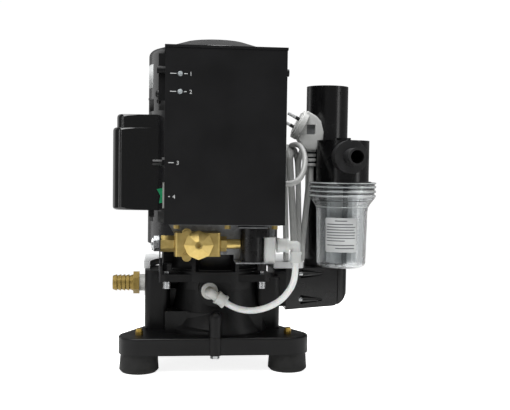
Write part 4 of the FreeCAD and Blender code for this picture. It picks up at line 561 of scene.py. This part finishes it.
class PUMP_OT_bowl(bpy.types.Operator):
    """Clear ringed bowl of the strainer, with rings of painted highlight on its ridges and painted shade in
    the gaps
    """

    bl_idname = "pump.bowl"
    bl_label = "Strainer bowl"

    # Radius and height of the wall in millimetres, from the middle of the floor outwards, up and back.
    WALL = ((0, 131.5), (20, 131.5), (26, 132.4), (30, 134.6), (31.8, 138), (33.2, 204), (33.8, 210),
            (36.2, 214.5), (41.5, 221.5), (43.4, 224.5), (43.4, 226.6), (41.6, 227.4), (41.6, 229.4),
            (43.6, 230.2), (43.6, 232.4), (41.8, 233.2), (41.8, 235.2), (43.8, 236), (43.8, 238.4),
            (42, 239.2), (42, 240.6), (43.8, 241.2), (43.8, 243), (38.6, 243), (38.6, 236.7), (35, 222),
            (30.6, 212), (29.8, 204), (28.4, 138), (26.4, 135.6), (22, 134.5), (0, 134.5))

    # Radius, height and half thickness of each ring of painted highlight on a ridge, and of each ring of
    # painted shade in a gap between ridges.
    RIDGES = ((43.4, 242.2, 0.5), (43.2, 237.2, 0.6), (43.2, 231.4, 0.55), (43, 225.6, 0.6),
              (33.9, 211.5, 0.45))
    GAPS = ((41.6, 239.8, 0.7), (41.4, 234.2, 0.8), (41.2, 228.4, 0.7), (38.2, 219.5, 0.5))

    def execute(self, context):
        centre = (HEAD_LOW + HEAD_HIGH) / 2
        axis = Vector((centre.x, centre.y, 0))
        piece("clear_bowl", ring_of(self.WALL, axis, 96), "clear_bowl", "bowl", ("strainer_bowl",), angle=40)
        # Rings of painted highlight on the ridges, and rings of painted shade in the gaps.
        for name, finish_name, rows in (("bowl_ridge_highlights", "painted_ridge_highlight", self.RIDGES),
                                        ("bowl_gap_shade", "painted_gap_shade", self.GAPS)):
            form = bmesh.new()
            for radius, z, half in rows:
                take_in(form, ring_of(((radius - half, z), (radius - half / 2, z - half),
                                       (radius + half / 2, z - half), (radius + half, z),
                                       (radius, z + half)), axis, 96))
            piece(name, form, "clear_bowl", "bowl", finishes=[finish_name], angle=60)
        return {"FINISHED"}


class PUMP_OT_pump_foot(bpy.types.Operator):
    """Flared foot of the casing and the waisted foot of the motor"""

    bl_idname = "pump.pump_foot"
    bl_label = "Feet of the pump and motor"

    # Radius and height in millimetres.
    FLARE = ((51, 46), (69, 46), (69, 49), (66.8, 54), (63, 62), (58.6, 73), (55.8, 83), (54.2, 92),
             (53.4, 101), (51, 101))
    WAIST = ((38, 127), (63, 127), (63, 129.5), (60, 132), (57.5, 138), (57.5, 147), (60, 151), (81, 154.5),
             (82.5, 156), (82.5, 160), (38, 160))

    RIBS = 8

    def execute(self, context):
        piece("casing_flare", ring_of(self.FLARE, spot(6, 0, 0), 96), "black_casting", "pump")
        form = ring_of(self.WAIST, spot(0, 0, 0), 96)
        for i in range(self.RIBS):
            turn = math.tau * (i + 0.5) / self.RIBS
            rib = slab(form, spot(50, -2.5, 128), spot(72, 2.5, 156))
            bmesh.ops.rotate(form, cent=spot(0, 0, 0), matrix=Matrix.Rotation(turn, 3, "Z"), verts=rib)
        for x in (-61, 61):
            for y in (-50, 50):
                nut = rod(form, spot(x, y, 127), (0, 0, 1), 6.6, 10.2, 6)
                soften(form, rims_of(nut), 0.8, 2)
        bmesh.ops.recalc_face_normals(form, faces=form.faces)
        piece("motor_foot", form, "black_casting", "pump", ("motor_adapter",))
        return {"FINISHED"}


class PUMP_OT_capacitor_cover(bpy.types.Operator):
    """Moulded cover beside the motor, with full corners and a lower cap"""

    bl_idname = "pump.capacitor_cover"
    bl_label = "Capacitor cover"

    # Two opposite corners of the cover and of its stepped cap, and the radius of their upright corners.
    BLOCKS = (((-131, -46, 204), (-73.3, 26, 309), 15), ((-126, -43, 300), (-73.3, 23, 326), 12))

    def execute(self, context):
        form = bmesh.new()
        for corner, opposite, round_by in self.BLOCKS:
            low, high = spot(*corner), spot(*opposite)
            edges = {e for v in slab(form, low, high) for e in v.link_edges}
            soften(form, [e for e in edges if abs(e.verts[0].co.z - e.verts[1].co.z) > 0.01
                          and e.verts[0].co.x < low.x + 1e-5], round_by, 8)
            left = [v for v in form.verts if v.co.x < low.x + round_by * 1.01 * MM]
            soften(form, [e for e in form.edges if e.verts[0] in left and e.verts[1] in left
                          and abs(e.verts[0].co.z - e.verts[1].co.z) < 1e-6
                          and min(abs(e.verts[0].co.z - low.z), abs(e.verts[0].co.z - high.z)) < 1e-5
                          and e.calc_face_angle(0) > 1], 4, 3)
        bmesh.ops.recalc_face_normals(form, faces=form.faces)
        piece("capacitor_hood", form, "cover_gloss", "pump", ("capacitor_cover",), angle=50)
        return {"FINISHED"}


class PUMP_OT_motor_trim(bpy.types.Operator):
    """Bare sticker, strips of painted shade for the vents, and fittings on the motor's shell"""

    bl_idname = "pump.motor_trim"
    bl_label = "Motor trim"

    SHELL_RADIUS, LIFT = 86.5, 0.05
    # Height of the foot and top of each row of vents, drawn as strips of painted shade, and how the strips
    # stand in a row, in degrees.
    VENT_ROWS = ((331, 346), (189, 203))
    FIRST_VENT, VENT_PITCH, VENT_WIDE, VENTS = 20, 24, 15, 15

    def on_shell(self, form, low, high, first, last, columns):
        """Add a curved strip that lies on the shell, between two angles in degrees."""
        radius = (self.SHELL_RADIUS + self.LIFT) * MM
        curved_strip(form, [(spot(0, 0, z), radius) for z in (low, high)], math.radians(first),
                     math.radians(last), columns)

    def execute(self, context):
        sticker = bmesh.new()
        self.on_shell(sticker, 361, 391, 158, 201, 12)
        bmesh.ops.recalc_face_normals(sticker, faces=sticker.faces)
        shown = piece("motor_sticker", sticker, "black_gloss", "pump", finishes=["paper"])
        shown.modifiers.new("thickness", "SOLIDIFY").thickness = 0.12 * MM
        # Dark strips of painted shade on the shell where the vents open into the motor.
        vent_shade = bmesh.new()
        for low, high in self.VENT_ROWS:
            for i in range(self.VENTS):
                first = self.FIRST_VENT + self.VENT_PITCH * i
                self.on_shell(vent_shade, low, high, first, first + self.VENT_WIDE, 6)
        bmesh.ops.recalc_face_normals(vent_shade, faces=vent_shade.faces)
        shown = piece("motor_vent_shade", vent_shade, "black_gloss", "pump", finishes=["shadow"])
        shown.modifiers.new("thickness", "SOLIDIFY").thickness = 0.2 * MM
        bands = ring_of(((86, 347.4), (87.1, 347.4), (87.1, 349), (86, 349)), spot(0, 0, 0), 96)
        piece("motor_seam", bands, "black_gloss", "pump")
        lead = bmesh.new()
        for z, size in ((352, 5.2), (343, 3.4)):
            bmesh.ops.create_uvsphere(lead, u_segments=20, v_segments=12, radius=size * MM,
                                      matrix=Matrix.Translation(spot(-73, -47, z)))
        piece("lead_grommets", lead, "black_plastic", "pump")
        clamp = bmesh.new()
        slab(clamp, spot(-85.5, -32, 194), spot(-76, -16, 205.5))
        soften(clamp, clamp.edges[:], 1.5)
        piece("cover_clamp", clamp, "black_plastic", "pump")
        return {"FINISHED"}


class PUMP_OT_small_fittings(bpy.types.Operator):
    """Union nut, the paler rims of the strainer's nozzle as painted highlight, the box's side flange, and
    painted shade in the pipe's small hole
    """

    bl_idname = "pump.small_fittings"
    bl_label = "Small fittings"

    def execute(self, context):
        nut = bmesh.new()
        rod(nut, spot(-78, -118, 168.5), (1, 0, 0), 9.2, 8.5, 6)
        soften(nut, rims_of(nut.verts), 0.9, 2)
        rod(nut, spot(-79.4, -118, 168.5), (1, 0, 0), 7.4, 2.2, 32)
        piece("union_nut", nut, "bright_screws", "pump", angle=25)
        # Raised rings round the disc and the nozzle in a paler finish: a painted highlight where the rims
        # catch the light.
        rims = bmesh.new()
        for y, inner, outer in ((-127, 8.3, 10.7), (-91.5, 18.6, 20.9)):
            form = ring_of(((inner, -0.6), (outer, -0.6), (outer, 0.5), (inner, 0.5)), Vector(), 64)
            bmesh.ops.rotate(form, cent=(0, 0, 0), matrix=Matrix.Rotation(math.pi / 2, 3, "X"),
                             verts=form.verts)
            bmesh.ops.translate(form, vec=spot(166, y + 0.6, 275.5), verts=form.verts)
            take_in(rims, form)
        bmesh.ops.recalc_face_normals(rims, faces=rims.faces)
        piece("nozzle_rim_highlights", rims, "black_moulding", "pump", finishes=["rough_moulding_and_rim_highlight"])
        flange = bmesh.new()
        slab(flange, spot(-73.5, -92, 340), spot(-64, -89, 397))
        piece("box_side_flange", flange, "box_black", "pump")
        # A dark disc of painted shade on the pipe for its small hole.
        hole = bmesh.new()
        rod(hole, spot(175, 14.9, 364), (0.483, -0.876, 0), 2.3, 0.5, 24)
        piece("standpipe_hole_shade", hole, "black_moulding", "pump", finishes=["shadow"])
        return {"FINISHED"}


class PUMP_OT_mains_cord(bpy.types.Operator):
    """Grey mains cord: out of the gland, round the hank, and up to the plug"""

    bl_idname = "pump.mains_cord"
    bl_label = "Mains cord"

    # Millimetres from the pump's axis: out of the gland and over the top of the hank.
    LEAD = ((79.7, -112, 241), (92, -111, 241.5), (103, -97, 250), (110.5, -76, 262), (114, -58, 274),
            (113, -43, 285), (109.5, -30, 292))
    # Where the front strand of each turn stands at the bottom and at the top. The last is the tail.
    STRANDS = ((112, 99.6), (98, 92), (108.5, 98.5), (116, 110.5), (118, 131))
    TAIL = ((129.8, -12.5, 240), (131, -6.5, 251), (131, -5.5, 263))
    # The hank's lowest and highest places, how far each turn's top lies below the highest, and the depth
    # of its middle.
    HANK_LOW, HANK_HIGH = 136.4, 291.0
    TOP_DROPS = (0, 4, 1.5, 5, 2)
    HANK_Y = 5

    def execute(self, context):
        sizes = context.scene.pump_sizes
        fold = sizes.fold / MM
        low, high = self.HANK_LOW, self.HANK_HIGH

        def strand(number, front, z):
            """A place on one strand of a turn: its front run, or its back run behind it."""
            bottom, top = self.STRANDS[number]
            x = bottom + (top - bottom) * (z - low) / (high - low)
            if front:
                return spot(x, self.HANK_Y - fold, z)
            return spot(x + 2 * fold * 0.16, self.HANK_Y + fold, z)

        gland = ring_of(((3.8, 0), (10.5, 0), (10.5, 1.8), (7, 2.2), (5.6, 4.2), (3.8, 4.2)), Vector(), 48)
        bmesh.ops.rotate(gland, cent=(0, 0, 0), matrix=Matrix.Rotation(math.pi / 2, 3, "Y"),
                         verts=gland.verts)
        bmesh.ops.translate(gland, vec=spot(75.5, -112, 241), verts=gland.verts)
        piece("short_gland", gland, "black_plastic", "pump", ("cord_gland",))
        points = [spot(*p) for p in self.LEAD]
        for number in range(len(self.STRANDS)):
            before = points[-1]
            top = high - self.TOP_DROPS[number] - fold
            after = strand(number, False, top)
            for step in (1, 2, 3, 4, 5) if number else (3, 4, 5):
                share = step / 6
                point = strand(number, True, top).lerp(after, (1 - math.cos(math.pi * share)) / 2)
                if number:
                    point.x += (before.x - strand(number, True, top).x) * (1 - share)
                point.z = (top + fold * math.sin(math.pi * share)) * MM
                points.append(point)
            bottom = low + fold
            points += [strand(number, False, z) for z in (top, (top + bottom) / 2, bottom)]
            for step in range(1, 6):
                share = step / 6
                point = strand(number, False, bottom).lerp(strand(number, True, bottom),
                                                           (1 - math.cos(math.pi * share)) / 2)
                point.z = (bottom - fold * math.sin(math.pi * share)) * MM
                points.append(point)
            if number + 1 < len(self.STRANDS):
                points += [strand(number, True, z) for z in (bottom, (top + bottom) / 2, top)]
            else:
                points += [strand(number, True, z) for z in (bottom, 190, 215)]
        points += [spot(*p) for p in self.TAIL]
        cord = smooth_cord("mains_cord", points, sizes.cord, "grey_cord",
                           ("cord_lead", "cord_hank", "cord_tail"))
        return {"FINISHED"}


class PUMP_OT_water_tube(bpy.types.Operator):
    """White water tube from the valve's elbow round to the casing"""

    bl_idname = "pump.water_tube"
    bl_label = "Water tube"

    ROUTE = ((94, -118, 146), (94, -118, 128), (89, -112, 112), (78, -104, 96.5), (61, -94, 85.5),
             (42, -84, 80.5), (23.2, -76, 83.4), (12.3, -76, 90.5))

    def execute(self, context):
        points = [spot(*p) for p in self.ROUTE]
        sizes = context.scene.pump_sizes
        tube = smooth_cord("water_tube_run", points, sizes.tube, "white_tube", ("water_tube",))
        return {"FINISHED"}


class PUMP_OT_screen(bpy.types.Operator):
    """Woven wire screen inside the strainer's bowl"""

    bl_idname = "pump.screen"
    bl_label = "Strainer screen"

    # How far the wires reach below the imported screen, towards the bowl's floor.
    REACH = 13 * MM

    def execute(self, context):
        sizes = context.scene.pump_sizes
        middle = (SCREEN_LOW + SCREEN_HIGH) / 2
        foot = SCREEN_LOW.z - self.REACH
        tall = SCREEN_HIGH.z - foot
        radius = (SCREEN_HIGH.x - SCREEN_LOW.x) / 2 - sizes.wire
        around, rows = round(math.tau * radius / sizes.weave), round(tall / sizes.weave)
        form = bmesh.new()
        rim = bmesh.ops.create_circle(form, segments=around, radius=radius, cap_ends=False,
                                      matrix=Matrix.Translation((middle.x, middle.y, foot + sizes.wire)))
        edges = list({e for v in rim["verts"] for e in v.link_edges})
        step = (tall - 2 * sizes.wire) / rows
        for _ in range(rows):
            made = bmesh.ops.extrude_edge_only(form, edges=edges)["geom"]
            bmesh.ops.translate(form, vec=(0, 0, step), verts=moved(made))
            edges = [g for g in made if isinstance(g, bmesh.types.BMEdge) and g.is_boundary]
        bmesh.ops.recalc_face_normals(form, faces=form.faces)
        bmesh.ops.wireframe(form, faces=form.faces, thickness=sizes.wire, use_replace=True,
                            use_even_offset=False, use_boundary=True)
        piece("woven_screen", form, "screen_mesh", "pump", ("strainer_screen",), angle=60)
        # A darker strip down the front of the mesh.
        seam = bmesh.new()
        slab(seam, Vector((middle.x - 3.4 * MM, middle.y - 19.9 * MM, foot)),
             Vector((middle.x + 3.4 * MM, middle.y - 19.2 * MM, SCREEN_HIGH.z)))
        soften(seam, seam.edges[:], 0.2, 1)
        piece("screen_dark_strip", seam, "screen_mesh", "pump", finishes=["darker_strip_steel"])
        return {"FINISHED"}


class PUMP_OT_bowl_label(bpy.types.Operator):
    """Plain ruled paper label on the front of the bowl"""

    bl_idname = "pump.bowl_label"
    bl_label = "Bowl label"

    # Height of each printed line on the label and the part of its width that it fills.
    ROWS = ((0.90, 0.32, 0.68), (0.80, 0.08, 0.86), (0.72, 0.06, 0.94), (0.64, 0.06, 0.90),
            (0.56, 0.06, 0.94), (0.48, 0.06, 0.92), (0.40, 0.06, 0.94), (0.32, 0.06, 0.62),
            (0.19, 0.08, 0.92), (0.10, 0.34, 0.92))
    # The label's foot and top above the bowl's floor, its width and the way it faces.
    FOOT, TOP, WIDE, FACING = 22.4 * MM, 66.4 * MM, math.radians(75), -math.pi / 2 - math.radians(13.5)
    # The wall's taper under the label: radius and height of its lower end, and what it gains further up.
    LOW_RADIUS, LOW_Z, GAIN, GAIN_TALL = 32.2, 138, 1.4, 66

    def execute(self, context):
        centre = (HEAD_LOW + HEAD_HIGH) / 2
        low, high = BOWL_LOW.z + self.FOOT, BOWL_LOW.z + self.TOP

        def sheet(form, bottom, top, left, right, out):
            """Add a curved strip that lies on the bowl, by its share of the label."""
            rims = [(Vector((centre.x, centre.y, z)),
                     (self.LOW_RADIUS + self.GAIN * (z / MM - self.LOW_Z) / self.GAIN_TALL) * MM + out)
                    for z in (bottom, top)]
            curved_strip(form, rims, self.FACING + self.WIDE * (left - 0.5),
                         self.FACING + self.WIDE * (right - 0.5), max(2, round(24 * (right - left))))

        paper = bmesh.new()
        sheet(paper, low, high, 0, 1, 0)
        corners = [v for v in paper.verts if len(v.link_edges) == 2]
        bmesh.ops.bevel(paper, geom=corners, offset=2.4 * MM, segments=3, profile=0.5, material=-1,
                        affect="VERTICES")
        bmesh.ops.recalc_face_normals(paper, faces=paper.faces)
        label = piece("bowl_label", paper, "clear_bowl", "bowl", finishes=["paper"])
        label.modifiers.new("thickness", "SOLIDIFY").thickness = 0.12 * MM
        ink = bmesh.new()
        for share, left, right in self.ROWS:
            z = low + (high - low) * share
            sheet(ink, z, z + 1.3 * MM, left, right, 0.16 * MM)
        bmesh.ops.recalc_face_normals(ink, faces=ink.faces)
        rules = piece("bowl_label_rules", ink, "clear_bowl", "bowl", finishes=["ink_and_recess_shade"])
        rules.modifiers.new("thickness", "SOLIDIFY").thickness = 0.05 * MM
        return {"FINISHED"}


class PUMP_OT_stage(bpy.types.Operator):
    """Pale floor, soft lights and the camera"""

    bl_idname = "pump.stage"
    bl_label = "Stage"

    # Where each soft light hangs from the target in metres, its width and height, and its power in watts.
    LIGHTS = (("key", (-0.6, -1.3, 2.0), 1.6, 1.2, 40), ("left_back", (-1.4, 0.9, 0.5), 1.2, 1.6, 4),
              ("left_strip", (-1.5, -1.0, 0.2), 0.14, 2.0, 3),
              ("left_strip_near", (-1.1, -1.4, 0.2), 0.1, 2.0, 1.5),
              ("right_strip", (1.3, -0.8, 0.4), 0.25, 1.4, 3), ("above", (0.0, 0.2, 1.6), 1.4, 1.4, 34))
    # The camera's place from the pump's axis, and the way it looks.
    CAMERA = (-66.6, -1098, 264)
    HEADING, PITCH, ROLL = math.radians(6.40), math.radians(2.81), math.radians(0.85)

    def execute(self, context):
        scene, stage = context.scene, context.scene.pump_stage
        scene.view_settings.view_transform = "Standard"
        ground = bmesh.new()
        bmesh.ops.create_grid(ground, x_segments=1, y_segments=1, size=0.55)
        mesh = bpy.data.meshes.new("floor")
        ground.to_mesh(mesh)
        ground.free()
        floor = bpy.data.objects.new("floor", mesh)
        floor.location.z = -0.2 * MM
        material, tree, shader = start("pale_floor", Roughness=0.9, **{
            "Base Color": stage.floor, "Emission Color": linear("#ffffff"), "Specular IOR Level": 0.1})
        glow = add(tree, "ShaderNodeMath", {0: seen_rays(tree), 1: 0.7, 2: 0.15}, operation="MULTIPLY_ADD")
        tree.links.new(glow.outputs[0], shader.inputs["Emission Strength"])
        mesh.materials.append(material)
        scene.collection.objects.link(floor)
        world = bpy.data.worlds.new("studio")
        world.use_nodes = True
        power = add(world.node_tree, "ShaderNodeMath", {0: seen_rays(world.node_tree), 1: 0.82, 2: 0.2},
                    operation="MULTIPLY_ADD")
        backdrop = world.node_tree.nodes["Background"]
        backdrop.inputs["Color"].default_value = linear("#ffffff")
        world.node_tree.links.new(power.outputs[0], backdrop.inputs["Strength"])
        scene.world = world
        target = spot(20, 0, 200)
        for name, offset, wide, tall, power in self.LIGHTS:
            light = bpy.data.lights.new(name, "AREA")
            light.shape, light.size, light.size_y, light.energy = "RECTANGLE", wide, tall, power
            lamp = bpy.data.objects.new(name, light)
            lamp.location = target + Vector(offset)
            lamp.rotation_mode = "QUATERNION"
            lamp.rotation_quaternion = (-Vector(offset)).to_track_quat("-Z", "Y")
            scene.collection.objects.link(lamp)
        camera = bpy.data.objects.new("camera", bpy.data.cameras.new("camera"))
        camera.data.lens = stage.lens
        camera.data.sensor_width = 36
        look = Vector((math.sin(self.HEADING) * math.cos(self.PITCH),
                       math.cos(self.HEADING) * math.cos(self.PITCH), -math.sin(self.PITCH)))
        camera.location = spot(*self.CAMERA)
        camera.rotation_mode = "QUATERNION"
        camera.rotation_quaternion = look.to_track_quat("-Z", "Y") @ Quaternion((0, 0, 1), self.ROLL)
        scene.collection.objects.link(camera)
        scene.camera = camera
        return {"FINISHED"}


class PUMP_PT_panel(bpy.types.Panel):
    """Lists the pieces in the 3D view's sidebar"""

    bl_idname = "PUMP_PT_panel"
    bl_label = "Vacuum pump"
    bl_space_type = "VIEW_3D"
    bl_region_type = "UI"
    bl_category = "Vacuum pump"

    def draw(self, context):
        for step in STEPS:
            self.layout.operator(step.bl_idname)
        for group in (context.scene.pump_sizes, context.scene.pump_stage):
            for name in group.bl_rna.properties.keys():
                if name not in ("rna_type", "name"):
                    self.layout.prop(group, name)


STEPS = (PUMP_OT_nodes, PUMP_OT_panel_print, PUMP_OT_plug, PUMP_OT_mains_cord, PUMP_OT_water_tube,
         PUMP_OT_screen, PUMP_OT_bowl, PUMP_OT_bowl_label, PUMP_OT_pump_foot, PUMP_OT_capacitor_cover,
         PUMP_OT_motor_trim, PUMP_OT_small_fittings, PUMP_OT_stage)
CLASSES = (PumpSizes, PumpStage, *STEPS, PUMP_PT_panel)


def register():
    for held in CLASSES:
        bpy.utils.register_class(held)
    bpy.types.Scene.pump_sizes = bpy.props.PointerProperty(type=PumpSizes)
    bpy.types.Scene.pump_stage = bpy.props.PointerProperty(type=PumpStage)


def unregister():
    del bpy.types.Scene.pump_stage
    del bpy.types.Scene.pump_sizes
    for held in reversed(CLASSES):
        bpy.utils.unregister_class(held)


def main():
    register()
    for step in STEPS:
        getattr(bpy.ops.pump, step.bl_idname.split(".")[1])()


if __name__ == "__main__":
    main()
